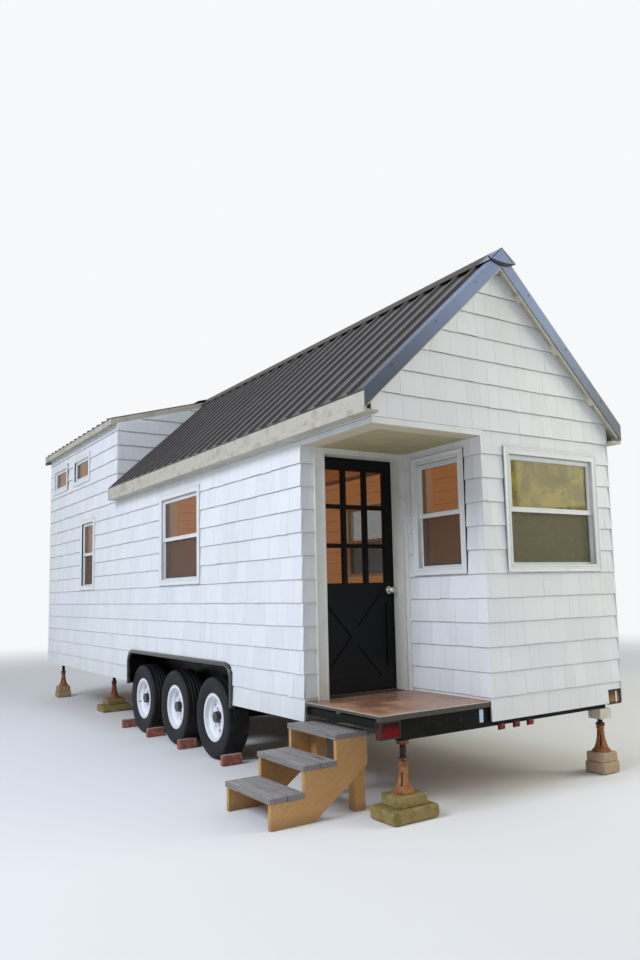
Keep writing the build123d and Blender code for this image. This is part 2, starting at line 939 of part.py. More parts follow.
ball_y = y_rear + tongue_reach - coupler_socket
coupler_low = tongue_low + coupler_lift
with BuildPart() as coupler:
    block(
        (x_middle - coupler_half_width, y_rear + tongue_reach - coupler_length + tongue_bar, coupler_low),
        (x_middle + coupler_half_width, ball_y, tongue_top),
    )
    with Locations((x_middle, ball_y, (coupler_low + tongue_top) / 2)):
        Cylinder(coupler_socket, tongue_top - coupler_low)
    with Locations((x_middle, ball_y, coupler_low)):
        Sphere(ball_radius, mode=Mode.SUBTRACT)
keep("coupler", coupler)

# Wheels: three a side, each with its hub turning on the axle's spindle
wheel_places = [y_front + wheel_first + i * wheel_spacing for i in range(3)]
for side, side_name, wall_x in ((-1, "left", x_left), (1, "right", x_right)):
    wheel_x = wall_x - side * (tyre_inset + tyre_width / 2)
    for number, wheel_y in enumerate(wheel_places, 1):
        wheel_plane = Plane(
            origin=(wheel_x, wheel_y, tyre_radius),
            x_dir=(side, 0, 0),
            z_dir=(0, -side, 0),
        )
        spin = Axis((wheel_x, wheel_y, tyre_radius), (1, 0, 0))
        half = tyre_width / 2
        edge = rim_width / 2
        seat = bead_radius - seat_gap
        seat_reach = edge - seat_step
        well_radius = bead_radius - rim_well
        tread_x, tread_r = half - wall_top[0], tyre_radius - wall_top[1]
        shoulder_x, shoulder_r = half - shoulder[0], tyre_radius - shoulder[1]
        crown_x, crown_r = half - crown_edge[0], tyre_radius - crown_edge[1]
        with BuildPart() as tyre:
            with BuildSketch(wheel_plane):
                with BuildLine():
                    Polyline(
                        (-rim_width / 2, flange_radius),
                        (-rim_width / 2, bead_radius),
                        (rim_width / 2, bead_radius),
                        (rim_width / 2, flange_radius),
                    )
                    ThreePointArc(
                        (rim_width / 2, flange_radius),
                        (half, (flange_radius + tyre_radius) / 2),
                        (tread_x, tread_r),
                    )
                    ThreePointArc(
                        (tread_x, tread_r),
                        (shoulder_x, shoulder_r),
                        (crown_x, crown_r),
                    )
                    ThreePointArc(
                        (crown_x, crown_r),
                        (0, tyre_radius),
                        (-crown_x, crown_r),
                    )
                    ThreePointArc(
                        (-crown_x, crown_r),
                        (-shoulder_x, shoulder_r),
                        (-tread_x, tread_r),
                    )
                    ThreePointArc(
                        (-tread_x, tread_r),
                        (-half, (flange_radius + tyre_radius) / 2),
                        (-rim_width / 2, flange_radius),
                    )
                make_face()
            revolve(axis=spin)
        keep(f"tyre_{side_name}_{number}", tyre)

        with BuildPart() as wheel:
            with BuildSketch(wheel_plane):
                with BuildLine():
                    Polyline(
                        (-edge, flange_radius),
                        (-edge, seat),
                        (-seat_reach, seat),
                        (-seat_reach + well_ramp, well_radius),
                        (seat_reach - well_ramp, well_radius),
                        (seat_reach, seat),
                        (edge, seat),
                        (edge, flange_radius),
                        (edge + rim_sheet, flange_radius),
                        (edge + rim_sheet, seat - rim_sheet),
                        (seat_reach, seat - rim_sheet),
                        (seat_reach - well_ramp, well_radius - rim_sheet),
                        (disc_edge, well_radius - rim_sheet),
                        (disc_edge, disc_edge_radius),
                        (disc_bowl, disc_bowl_radius),
                        (disc_bowl, hub_radius),
                        (disc_bowl + hub_reach, hub_radius - hub_taper),
                        (disc_bowl + hub_reach, 0),
                        (hub_back, 0),
                        (hub_back, spindle_radius + spindle_clearance),
                        (-hub_back, spindle_radius + spindle_clearance),
                        (-hub_back, hub_radius),
                        (disc_bowl - disc_sheet, hub_radius),
                        (disc_bowl - disc_sheet, disc_bowl_radius),
                        (disc_edge - disc_sheet, disc_edge_radius),
                        (disc_edge - disc_sheet, well_radius - rim_sheet),
                        (well_ramp - seat_reach, well_radius - rim_sheet),
                        (-seat_reach, seat - rim_sheet),
                        (-edge - rim_sheet, seat - rim_sheet),
                        (-edge - rim_sheet, flange_radius),
                        close=True,
                    )
                make_face()
            revolve(axis=spin)
            opening_plane = Plane(
                origin=(wheel_x, wheel_y, tyre_radius),
                x_dir=(0, side, 0),
                z_dir=(side, 0, 0),
            )
            with BuildSketch(opening_plane):
                with PolarLocations(opening_circle, wheel_openings):
                    Trapezoid(opening_width, opening_height, opening_lean, rotation=90)
            extrude(amount=disc_bowl + disc_sheet, mode=Mode.SUBTRACT)
        keep(f"wheel_{side_name}_{number}", wheel)

with BuildPart() as axles:
    for wheel_y in wheel_places:
        for side, wall_x in ((-1, x_left), (1, x_right)):
            wheel_x = wall_x - side * (tyre_inset + tyre_width / 2)
            drum_plane = Plane(
                origin=(wheel_x - side * (hub_back + hub_gap), wheel_y, tyre_radius),
                z_dir=(side, 0, 0),
            )
            with BuildSketch(drum_plane):
                Circle(spindle_radius)
            extrude(amount=spindle_length)
            with BuildSketch(drum_plane):
                Circle(drum_radius)
            extrude(amount=-drum_width)
        first_x = x_left + tyre_inset + tyre_width / 2 + hub_back + hub_gap
        last_x = x_right - tyre_inset - tyre_width / 2 - hub_back - hub_gap
        with BuildSketch(Plane.YZ.offset(first_x)):
            with Locations((wheel_y, tyre_radius)):
                Circle(axle_radius)
        extrude(amount=last_x - first_x)
        for side, wall_x in ((-1, x_left), (1, x_right)):
            seat = wall_x - side * (rail_inset + rail_width / 2)
            block(
                (seat - spring_width / 2, wheel_y - pad_length / 2, tyre_radius),
                (seat + spring_width / 2, wheel_y + pad_length / 2, spring_seat - spring_gap),
            )
keep("axles", axles)


def leaf_spring(plane, eye_z):
    """A stack of curved leaves, longest on top, with an eye curled up at each end."""
    with BuildSketch(plane) as stack:
        for i, share in enumerate(leaf_shares):
            turn = degrees(spring_half / leaf_radius) * share
            upper = leaf_radius + i * leaf_thickness
            lower = upper + leaf_thickness
            with BuildLine() as leaf:
                CenterArc((0, leaf_centre), upper, 270 - turn, 2 * turn)
                CenterArc((0, leaf_centre), lower, 270 - turn, 2 * turn)
                for end in (270 - turn, 270 + turn):
                    c, s = cos(radians(end)), sin(radians(end))
                    Line((upper * c, leaf_centre + upper * s), (lower * c, leaf_centre + lower * s))
            make_face(leaf.edges())
        with Locations((-eye_reach, eye_z), (eye_reach, eye_z)):
            Circle(eye_radius)
        with Locations((-eye_reach, eye_z), (eye_reach, eye_z)):
            Circle(pin_radius + spring_gap, mode=Mode.SUBTRACT)
    extrude(stack.sketch, amount=spring_width / 2, both=True)


def cheeks(plane, outline):
    """Two plates of one outline, one on each side of the springs."""
    for side in (-1, 1):
        plate = plane.offset(side * (spring_width / 2 + spring_gap))
        extrude(plate * outline, amount=side * cheek_thickness, dir=plate.z_dir)


def pins(plane, places):
    """Pins that pass through the springs' eyes from plate to plate."""
    with BuildSketch(plane) as shanks:
        with Locations(*places):
            Circle(pin_radius)
    extrude(shanks.sketch, amount=spring_width / 2 + spring_gap + cheek_thickness, both=True)


# Suspension: leaf springs over the axles, joined by rocking equalisers
leaf_radius = (spring_half**2 + spring_sag**2) / (2 * spring_sag)
leaf_centre = spring_seat + leaf_radius + len(leaf_shares) * leaf_thickness
eye_turn = spring_half / leaf_radius
eye_arm = leaf_radius + leaf_thickness - eye_radius
eye_reach = eye_arm * sin(eye_turn)
eye_height = leaf_centre - eye_arm * cos(eye_turn)

cheek_radius = eye_radius + cheek_margin
clamp_x = spring_width / 2 + clamp_gap + clamp_rod
clamp_y = axle_radius + clamp_gap + clamp_rod
clamp_low = tyre_radius - axle_radius - clamp_gap
clamp_high = spring_seat + len(leaf_shares) * leaf_thickness + clamp_gap

with BuildPart() as leaf_springs:
    for wall_x, side in ((x_left, -1), (x_right, 1)):
        seat = wall_x - side * (rail_inset + rail_width / 2)
        for number, wheel_y in enumerate(wheel_places):
            spring_plane = Plane(origin=(seat, wheel_y, 0), x_dir=(0, 1, 0), z_dir=(1, 0, 0))
            leaf_spring(spring_plane, eye_height)

            # A clamp ties the leaves to the axle
            for low, high in ((clamp_low - clamp_plate, clamp_low), (clamp_high, clamp_high + clamp_plate)):
                block(
                    (seat - clamp_x - clamp_rod, wheel_y - clamp_y - clamp_rod, low),
                    (seat + clamp_x + clamp_rod, wheel_y + clamp_y + clamp_rod, high),
                )
            with BuildSketch(Plane.XY.offset(clamp_low)) as rods:
                with Locations((seat, wheel_y)):
                    with GridLocations(2 * clamp_x, 2 * clamp_y, 2, 2):
                        Circle(clamp_rod)
            extrude(rods.sketch, amount=clamp_high - clamp_low)

            # Hangers hold the row's two ends, and equalisers join one spring to the next
            for end in (-1, 1):
                if (number == 0 and end < 0) or (number == 2 and end > 0):
                    with BuildSketch() as hanger:
                        with Locations((end * eye_reach, eye_height)):
                            Circle(cheek_radius)
                        with Locations((end * eye_reach, rail_low - spring_gap - cheek_margin / 2)):
                            Rectangle(hanger_width, cheek_margin)
                        make_hull()
                    cheeks(spring_plane, hanger.sketch)
                    pins(spring_plane, [(end * eye_reach, eye_height)])
            if number < 2:
                middle = wheel_spacing / 2
                pivot = (middle, eye_height - equaliser_drop)
                eyes = [(eye_reach, eye_height), (wheel_spacing - eye_reach, eye_height)]
                with BuildSketch() as equaliser:
                    with Locations(*eyes):
                        Circle(eye_radius)
                    with Locations(pivot):
                        Circle(equaliser_radius)
                    make_hull()
                cheeks(spring_plane, equaliser.sketch)
                pins(spring_plane, [*eyes, pivot])
                with BuildSketch(spring_plane) as bracket:
                    with Locations(pivot):
                        Circle(equaliser_radius)
                    with Locations((middle, rail_low - spring_gap - cheek_margin / 2)):
                        Rectangle(hanger_width, cheek_margin)
                    make_hull()
                    with Locations(pivot):
                        Circle(pin_radius + spring_gap, mode=Mode.SUBTRACT)
                extrude(bracket.sketch, amount=spring_width / 2, both=True)
keep("leaf_springs", leaf_springs)

# Wheel wells: bent sheet under the floor's cut-out, with a trim bar round the arch
with BuildPart() as wheel_wells:
    for side, wall_x in ((-1, x_left), (1, x_right)):
        with BuildSketch(Plane.YZ.offset(wall_x)):
            well_outline()
            span(
                y_front + well_start - 1,
                y_front + well_end + 1,
                0,
                arch_foot,
                mode=Mode.SUBTRACT,
            )
        extrude(amount=-side * well_depth)
        with BuildSketch(Plane.YZ.offset(wall_x)):
            well_outline(well_sheet)
        extrude(amount=-side * (well_depth - well_sheet), mode=Mode.SUBTRACT)
keep("wheel_wells", wheel_wells)

with BuildPart() as arch_trims:
    for side, wall_x in ((-1, x_left), (1, x_right)):
        with BuildSketch(Plane.YZ.offset(wall_x)):
            well_outline()
            span(
                y_front + well_start - 1,
                y_front + well_end + 1,
                0,
                arch_foot,
                mode=Mode.SUBTRACT,
            )
            with BuildSketch(mode=Mode.PRIVATE) as hollow:
                span(
                    y_front + well_start + arch_width,
                    y_front + well_end - arch_width,
                    0,
                    well_top - arch_width,
                )
                fillet(hollow.vertices().group_by(Axis.Y)[-1], radius=well_corner - arch_width)
            add(hollow.sketch, mode=Mode.SUBTRACT)
        extrude(amount=side * arch_proud)
        outer = arch_trims.faces().filter_by(Axis.X).sort_by(Axis.X)[-1 if side > 0 else 0]
        fillet(outer.edges().filter_by(lambda edge: edge.center().Z > arch_foot + 1), radius=arch_round)
keep("arch_trims", arch_trims)

# Lights at the porch end
with BuildPart() as tail_lights:
    for side, wall_x in ((-1, x_left), (1, x_right)):
        inner = wall_x - side * light_width
        block(
            (min(wall_x, inner), y_front, light_bottom),
            (max(wall_x, inner), y_front + light_depth, frame_top),
        )
keep("tail_lights", tail_lights)

# Screw jacks on their blocks: porch end, middle and tongue end
jack_places = []
for side, wall_x in ((-1, x_left), (1, x_right)):
    beam_x = wall_x - side * (beam_end + jack_head_radius)
    jack_places.append((beam_x, beam_face + beam_depth / 2))
    jack_places.append((wall_x - side * (rail_inset + rail_width / 2), y_front + middle_jack))
    jack_places.append((beam_x, y_rear - beam_depth / 2))
block_top = slab_height + upper_block
socket = screw_radius + jack_socket
with BuildPart() as jack_bases:
    for jack_x, jack_y in jack_places:
        base_plane = Plane(origin=(jack_x, jack_y, block_top), x_dir=(1, 0, 0), z_dir=(0, -1, 0))
        with BuildSketch(base_plane):
            with BuildLine():
                Polyline((socket, 0), (jack_base_radius, 0), (jack_base_radius, jack_foot))
                Spline(
                    (jack_base_radius, jack_foot),
                    (jack_base_radius * jack_waist[0], jack_waist[1]),
                    (jack_neck_radius, jack_base_height - jack_neck_length),
                )
                Polyline(
                    (jack_neck_radius, jack_base_height - jack_neck_length),
                    (jack_neck_radius, jack_base_height),
                    (socket, jack_base_height),
                    (socket, 0),
                )
            make_face()
        revolve(axis=Axis((jack_x, jack_y, 0), (0, 0, 1)))
keep("jack_bases", jack_bases)

with BuildPart() as jack_screws:
    for jack_x, jack_y in jack_places:
        with BuildSketch(Plane.XY.offset(block_top + jack_rest)):
            with Locations((jack_x, jack_y)):
                Circle(screw_radius)
        extrude(amount=rail_low - block_top - jack_rest - jack_head_height)
        with BuildSketch(Plane.XY.offset(block_top + jack_base_height + collar_gap)):
            with Locations((jack_x, jack_y)):
                Circle(jack_head_radius - collar_step)
        extrude(amount=collar_height)
        with BuildSketch(Plane.XY.offset(rail_low - jack_head_height)):
            with Locations((jack_x, jack_y)):
                Circle(jack_head_radius)
        extrude(amount=jack_head_height)
keep("jack_screws", jack_screws)

with BuildPart() as support_blocks:
    for jack_x, jack_y in jack_places:
        for (half_x, half_y), low, high in ((slab_half, 0, slab_height), (upper_half, slab_height, block_top)):
            block((jack_x - half_x, jack_y - half_y, low), (jack_x + half_x, jack_y + half_y, high))
keep("support_blocks", support_blocks)

# Steps up to the porch's open side
step_y0 = y_front + step_front
step_y1 = step_y0 + tread_length
tread_depth = step_run + nosing_reach
nosing = [x_left - step_reach + i * step_run for i in range(3)]
tread_tops = [skirt_bottom - step_clearance - (2 - i) * step_rise for i in range(3)]
with BuildPart() as step_treads:
    for left, top in zip(nosing, tread_tops):
        board = (tread_depth - board_gap) / 2
        for i in range(2):
            start = left + i * (board + board_gap)
            block((start, step_y0, top - tread_thickness), (start + board, step_y1, top))
keep("step_treads", step_treads)

with BuildPart() as step_frame:
    for start in (step_y0 + tread_overhang, step_y1 - tread_overhang - stringer_thickness):
        with BuildSketch(Plane.XZ.offset(-start)):
            with BuildLine():
                under = [top - tread_thickness for top in tread_tops]
                back = nosing[2] + tread_depth
                Polyline(
                    (nosing[0] + nosing_reach, 0),
                    (nosing[0] + nosing_reach, under[0]),
                    (nosing[1] + nosing_reach, under[0]),
                    (nosing[1] + nosing_reach, under[1]),
                    (nosing[2] + nosing_reach, under[1]),
                    (nosing[2] + nosing_reach, under[2]),
                    (back, under[2]),
                    (back, under[2] - stringer_depth),
                    (nosing[0] + stringer_foot, 0),
                    close=True,
                )
            make_face()
        extrude(amount=-stringer_thickness)
    back = nosing[2] + tread_depth
    for start in (
        step_y0 + tread_overhang + stringer_thickness,
        step_y1 - tread_overhang - stringer_thickness - post_width,
    ):
        block((back - post_width, start, 0), (back, start + post_width, tread_tops[2] - tread_thickness))
keep("step_frame", step_frame)

with BuildPart() as bricks:
    for along in bricks_along:
        with Locations((x_left + brick_inset, y_front + along, brick_height / 2)):
            Box(brick_length, brick_width, brick_height)
keep("bricks", bricks)

os.makedirs("parts", exist_ok=True)
for name, piece in parts.items():
    export_step(piece, f"parts/{name}.step")
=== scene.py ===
"""Looks of a tiny house on wheels: shingles, roof fixings, windows, wheels, jacks and finishes."""

from functools import cached_property
from math import cos, pi, sin, sqrt, tau

import bpy
import numpy as np
from bpy.props import FloatProperty, FloatVectorProperty, IntProperty, PointerProperty
from mathutils import Matrix, Vector


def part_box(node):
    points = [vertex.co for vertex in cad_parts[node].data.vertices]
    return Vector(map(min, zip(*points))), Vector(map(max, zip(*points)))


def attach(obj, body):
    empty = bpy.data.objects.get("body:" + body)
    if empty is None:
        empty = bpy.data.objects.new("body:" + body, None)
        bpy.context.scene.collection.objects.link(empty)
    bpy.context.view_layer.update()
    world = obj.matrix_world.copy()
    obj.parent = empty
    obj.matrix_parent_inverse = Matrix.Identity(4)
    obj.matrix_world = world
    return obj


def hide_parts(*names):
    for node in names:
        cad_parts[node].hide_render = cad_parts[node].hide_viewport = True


bl_info = {
    "name": "Tiny House Looks",
    "version": (1, 0, 0),
    "blender": (4, 5, 0),
    "location": "3D View > Sidebar > Tiny House",
    "description": "Shingles, roof fittings, windows, wheels and finishes of a tiny house on wheels",
    "category": "Object",
}

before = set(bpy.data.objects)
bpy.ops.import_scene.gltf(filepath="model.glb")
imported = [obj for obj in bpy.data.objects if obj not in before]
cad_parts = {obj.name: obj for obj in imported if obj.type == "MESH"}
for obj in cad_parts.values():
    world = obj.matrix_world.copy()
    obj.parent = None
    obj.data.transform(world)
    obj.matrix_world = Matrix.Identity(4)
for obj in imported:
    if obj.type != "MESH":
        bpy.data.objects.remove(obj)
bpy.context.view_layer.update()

# Planes of the house, read from its CAD nodes, in metres
X_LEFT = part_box("left_wall")[0].x
X_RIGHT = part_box("right_wall")[1].x
X_MIDDLE = (X_LEFT + X_RIGHT) / 2
X_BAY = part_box("porch_side_wall")[0].x
Y_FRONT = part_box("front_gable")[0].y
Y_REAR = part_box("rear_wall")[1].y
Y_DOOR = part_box("door_wall_right")[0].y
Y_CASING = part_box("door_frame")[0].y
Y_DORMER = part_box("left_dormer_walls")[0].y
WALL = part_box("door_wall_right")[1].y - Y_DOOR
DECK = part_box("porch_deck")[1].z
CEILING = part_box("porch_ceiling")[0].z
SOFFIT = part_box("eave_trim")[0].z
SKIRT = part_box("left_wall")[0].z
BEAM_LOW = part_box("chassis_rails")[0].z
BEAM_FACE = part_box("chassis_rails")[0].y
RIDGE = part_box("left_roof")[1].z

# Roofs: fall per metre across, and thickness of the slabs, square to the slope and upright
ROOF_THICK = 0.084
ROOF_SLOPE = 0.94
ROOF_DROP = ROOF_THICK * sqrt(1 + ROOF_SLOPE**2)
DORMER_SLOPE = 0.28
DORMER_DROP = ROOF_THICK * sqrt(1 + DORMER_SLOPE**2)

# Wheel arches: their ends along the house, their top, and the radius of their upper corners
WELL = (Y_FRONT + 2.330, Y_FRONT + 5.285)
WELL_TOP = 0.960
WELL_CORNER = 0.170

# Window casings: width of their face, and how far they stand out from the wall
CASING = 0.062
PROUD = 0.020

# Trim of the porch: the band over its opening, and the board in its inner corner
BAND_HEIGHT, BAND_PROUD = 0.045, 0.016
CORNER_WIDTH, CORNER_PROUD = 0.058, 0.019

# Windows: middle, outer casing width and height, direction they face, and whether the sashes slide
ROOM_HEIGHT, LOFT_HEIGHT = 2.217, 3.4904
WIDE, SLIM, LOFT = (1.130, 1.020), (0.676, 1.020), (0.860, 0.420)
WINDOWS = [
    ((X_LEFT + 1.842, Y_FRONT, ROOM_HEIGHT), *WIDE, (0, -1, 0), True),
    ((X_BAY, Y_FRONT + 0.541, ROOM_HEIGHT), *SLIM, (-1, 0, 0), True),
    ((X_MIDDLE, Y_REAR, ROOM_HEIGHT), *WIDE, (0, 1, 0), True),
]
for wall_x, out in ((X_LEFT, -1), (X_RIGHT, 1)):
    for along, height, size, slides in (
        (3.635, ROOM_HEIGHT, WIDE, True),
        (7.088, ROOM_HEIGHT, SLIM, True),
        (7.450, LOFT_HEIGHT, LOFT, False),
        (8.640, LOFT_HEIGHT, LOFT, False),
    ):
        WINDOWS.append(((wall_x, Y_FRONT + along, height), *size, (out, 0, 0), slides))

WHEELS = [
    (side, number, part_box(f"tyre_{side}_{number}"))
    for side in ("left", "right")
    for number in (1, 2, 3)
]

# Screw jacks: the middle of each, porch end first on either side
JACKS = [
    (x, y)
    for wall_x, inward in ((X_LEFT, 1), (X_RIGHT, -1))
    for x, y in (
        (wall_x + inward * 0.226, BEAM_FACE + 0.030),
        (wall_x + inward * 0.355, Y_FRONT + 6.990),
        (wall_x + inward * 0.226, Y_REAR - 0.030),
    )
]
BELL_HEIGHT = 0.212
SCREW_LOW = 0.380
BLOCK_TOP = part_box("support_blocks")[1].z
SLAB_TOP = 0.096
SLAB_LAP = 0.006

# Blocks under a jack: half sizes in x and y of the lower slab and of the upper block
BROAD_BLOCKS = ((0.200, 0.150), (0.130, 0.110))
NARROW_BLOCKS = ((0.105, 0.105), (0.095, 0.095))

# By their number in JACKS: columns of narrow blocks, each with its share of clean new concrete, and
# the jack that carries the beam on a packer of this height and half width in place of its head
NARROW_JACKS = {2: 0.78, 3: 1.0}
PACKED_JACK = 3
PACKER_HEIGHT, PACKER_HALF = 0.085, 0.068

# Tail lights: their width, and the height up to which the shingles leave them free
TAIL_WIDE, TAIL_FREE = 0.170, 0.686

# Loose bricks: their middles along the house from the front gable, and half their width
BRICKS = (2.505, 3.579, 4.520, 5.380)
BRICK_HALF = 0.032

# Steps: the two ends of the boards, the nosing and top of each tread, and the stringers' thickness
STEP_Y = (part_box("step_treads")[0].y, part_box("step_treads")[1].y)
TREAD_RUN, TREAD_RISE = 0.267, 0.180
TREADS = [
    (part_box("step_treads")[0].x + TREAD_RUN * i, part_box("step_treads")[1].z - TREAD_RISE * (2 - i))
    for i in range(3)
]
STRINGER = 0.042


# Shader formulas


class Wire:
    """An output socket in a formula: each operator adds a Math node and gives its output."""

    def __init__(self, shader, socket):
        self.shader = shader
        self.socket = socket

    def __add__(self, other):
        return self.shader.maths("ADD", self, other)

    def __sub__(self, other):
        return self.shader.maths("SUBTRACT", self, other)

    def __rsub__(self, other):
        return self.shader.maths("SUBTRACT", other, self)

    def __mul__(self, other):
        return self.shader.maths("MULTIPLY", self, other)

    def __gt__(self, other):
        return self.shader.maths("GREATER_THAN", self, other)

    def __lt__(self, other):
        return self.shader.maths("LESS_THAN", self, other)

    __radd__ = __add__
    __rmul__ = __mul__


class Shader:
    """The nodes of one material or world, built from formulas on the piece's own coordinates."""

    def __init__(self, owner):
        self.owner = owner
        owner.use_nodes = True
        self.tree = owner.node_tree
        self.tree.nodes.clear()

    def add(self, kind, settings=None, inputs=None, output=0):
        """Adds a node of a kind, sets its settings and then its inputs, and gives one output."""
        node = self.tree.nodes.new("ShaderNode" + kind)
        for key, value in (settings or {}).items():
            if key == "stops":
                elements = node.color_ramp.elements
                while len(elements) < len(value):
                    elements.new(0.5)
                for element, (position, shade) in zip(elements, value):
                    element.position = position
                    element.color = (*shade, 1)
            else:
                setattr(node, key, value)
        for key, value in (inputs or {}).items():
            socket = node.inputs[key]
            if isinstance(value, Wire):
                self.tree.links.new(value.socket, socket)
            elif socket.type == "RGBA":
                socket.default_value = (*value[:3], 1)
            else:
                socket.default_value = value
        return Wire(self, node.outputs[output]) if node.outputs else None

    def maths(self, operation, a, b=0.0):
        return self.add("Math", {"operation": operation}, {0: a, 1: b})

    @cached_property
    def place(self):
        return self.add("TexCoord", output="Object")

    def part(self, vector, letter):
        return self.add("SeparateXYZ", None, {0: vector}, "XYZ".index(letter))

    def axis(self, letter):
        return self.part(self.place, letter)

    def facing(self, letter):
        """How far the surface faces along an axis, from -1 to 1."""
        return self.part(self.add("NewGeometry", output="Normal"), letter)

    def vector(self, x, y, z):
        return self.add("CombineXYZ", None, {0: x, 1: y, 2: z})

    def stretched(self, x, y, z):
        return self.add("VectorMath", {"operation": "MULTIPLY"}, {0: self.place, 1: (x, y, z)})

    def noise(self, x, y=None, z=None, detail=3.0, rough=0.55):
        """Smooth noise from 0 to 1 whose grains per metre are given along each axis."""
        vector = self.stretched(x, x if y is None else y, x if z is None else z)
        return self.noise_at(vector, detail, rough)

    def noise_at(self, vector, detail=3.0, rough=0.55):
        return self.add(
            "TexNoise", None, {"Vector": vector, "Scale": 1.0, "Detail": detail, "Roughness": rough}
        )

    def patches(self, scale, start, end, detail=5.0):
        """Soft-edged patches: noise that is 0 up to start and 1 from end on."""
        return self.smooth(self.noise(scale, detail=detail), start, end)

    def cells(self, vector, scale):
        """Distance from the middle of the nearest of many cells."""
        return self.add("TexVoronoi", None, {"Vector": vector, "Scale": scale})

    def boards(self, value, half, joint=0.005):
        """1 on boards of a half width, laid along a value, and 0 in the joints between them."""
        return self.smooth(self.maths("PINGPONG", value, half), 0.0, joint)

    def ramp(self, value, *stops):
        return self.add("ValToRGB", {"stops": stops}, {0: value})

    def smooth(self, value, start, end):
        """0 at start, 1 at end, and an S curve between; start may be the larger."""
        settings = {"interpolation_type": "SMOOTHSTEP"}
        return self.add("MapRange", settings, {0: value, 1: start, 2: end, 3: 0.0, 4: 1.0})

    def mix(self, a, b, factor):
        return self.add("Mix", {"data_type": "RGBA"}, {0: factor, 6: a, 7: b}, 2)

    def tone(self):
        """The piece's own number between 0 and 1, kept for each shingle, board or block."""
        return self.add("Attribute", {"attribute_name": "tone"}, None, "Fac")

    def seen(self):
        """1 for what the camera sees, on its own, in a gloss or through glass, and 0 for light."""
        found = self.add("LightPath", output="Is Camera Ray")
        for kind in ("Is Glossy Ray", "Is Transmission Ray"):
            found = self.maths("MAXIMUM", found, self.add("LightPath", output=kind))
        return found

    def finish(self, colour, roughness, height=None, strength=0.5, depth=0.002, **fixed):
        """The surface: colour, roughness, and an optional bump height in units of depth."""
        inputs = {"Base Color": colour, "Roughness": roughness}
        if height is not None:
            bump = {"Strength": strength, "Distance": depth, "Height": height}
            inputs["Normal"] = self.add("Bump", None, bump)
        for key, value in fixed.items():
            inputs[key.replace("_", " ")] = value
        return self.end(self.add("BsdfPrincipled", None, inputs))

    def end(self, surface, kind="OutputMaterial"):
        self.add(kind, None, {"Surface": surface})
        return self.owner


def within_walls(s):
    """1 in plan between the middles of the four outer walls."""
    x, y = s.axis("X"), s.axis("Y")
    inset = WALL / 2
    return (x > X_LEFT + inset) * (x < X_RIGHT - inset) * (y > Y_FRONT + inset) * (y < Y_REAR - inset)


def inside_mask(s, porch_inset=0.03):
    """1 on the room side: within the middles of the outer walls, and not on the porch."""
    beyond_porch = s.maths("MAXIMUM", s.axis("X") > X_BAY + porch_inset, s.axis("Y") > Y_DOOR + WALL / 2)
    above_porch = s.axis("Z") > CEILING + 0.002
    return within_walls(s) * s.maths("MAXIMUM", beyond_porch, above_porch)


def paint_shingle(s):
    """White paint over combed wood: upright grain, mildew, dust where rain splashes up, and painted shade
    with darker end grain under the butts.
    """
    comb = s.noise(110, 110, 1.8, 4)
    fine = s.noise(330, 330, 9, 2)
    patch = s.noise(1.1, detail=2)
    tone = s.tone()
    base = s.mix((0.655, 0.68, 0.70), (0.765, 0.785, 0.80), tone * 0.55 + patch * 0.45)
    streak = s.mix(base, (0.56, 0.575, 0.56), s.smooth(comb, 0.58, 0.78) * 0.28)
    low = s.smooth(s.axis("Z"), 0.90, 0.56) * s.noise(6, detail=4)
    mildew = s.smooth(s.noise(2.2, 2.2, 0.9, 5), 0.56, 0.80)
    colour = s.mix(streak, (0.40, 0.39, 0.32), low * 0.30)
    colour = s.mix(colour, (0.52, 0.55, 0.46), mildew * 0.30)
    # Downward faces of the butts are darkened: painted shade, along with their darker end grain and dirt
    colour = s.mix(colour, (0.17, 0.155, 0.12), s.smooth(s.facing("Z"), -0.4, -0.8))
    return s.finish(colour, 0.50 + comb * 0.16, comb * 0.7 + fine * 0.3, 0.55, 0.0018)


def wall_core(s):
    """Sheathing behind the shingles in grey as painted shade in the gaps, cream soffit at the porch, and
    warm boards in the room that glow as painted light.
    """
    z = s.axis("Z")
    # The grey here is painted shade: white sheathing as it looks in the gaps between the shingles
    outside = s.mix((0.30, 0.31, 0.31), (0.38, 0.39, 0.39), s.noise(14))
    soffit = (s.facing("Z") < -0.5) * (z > CEILING - 0.02) * (z < CEILING + 0.02)
    outside = s.mix(outside, (0.55, 0.49, 0.36), soffit)
    board = s.mix((0.46, 0.225, 0.082), (0.66, 0.365, 0.165), s.noise(3, 3, 60, 4))
    board = s.mix((0.26, 0.105, 0.036), board, s.boards(z, 0.07))
    mask = inside_mask(s)
    colour = s.mix(outside, board, mask)
    # The room side glows: painted light from the room, not a lamp
    glow = s.mix((0, 0, 0), board, mask)
    return s.finish(colour, 0.62, Emission_Color=glow, Emission_Strength=0.52)


def plain_paint(base, worn, scale=8.0, rough=0.45, wear=0.5, lit=None):
    """Brushed paint with a worn second colour in patches; lit is the room's light on its inner side."""

    def build(s):
        patch = s.noise(scale, detail=4)
        fine = s.noise(scale * 12, detail=2)
        colour = s.mix(base, worn, s.smooth(patch, 0.45, 0.75) * wear)
        fixed = {}
        if lit:
            fixed["Emission_Color"] = s.mix((0, 0, 0), lit, inside_mask(s, 0.09))
            fixed["Emission_Strength"] = 0.5
        return s.finish(colour, rough + patch * 0.15, fine, 0.15, 0.001, **fixed)

    return build


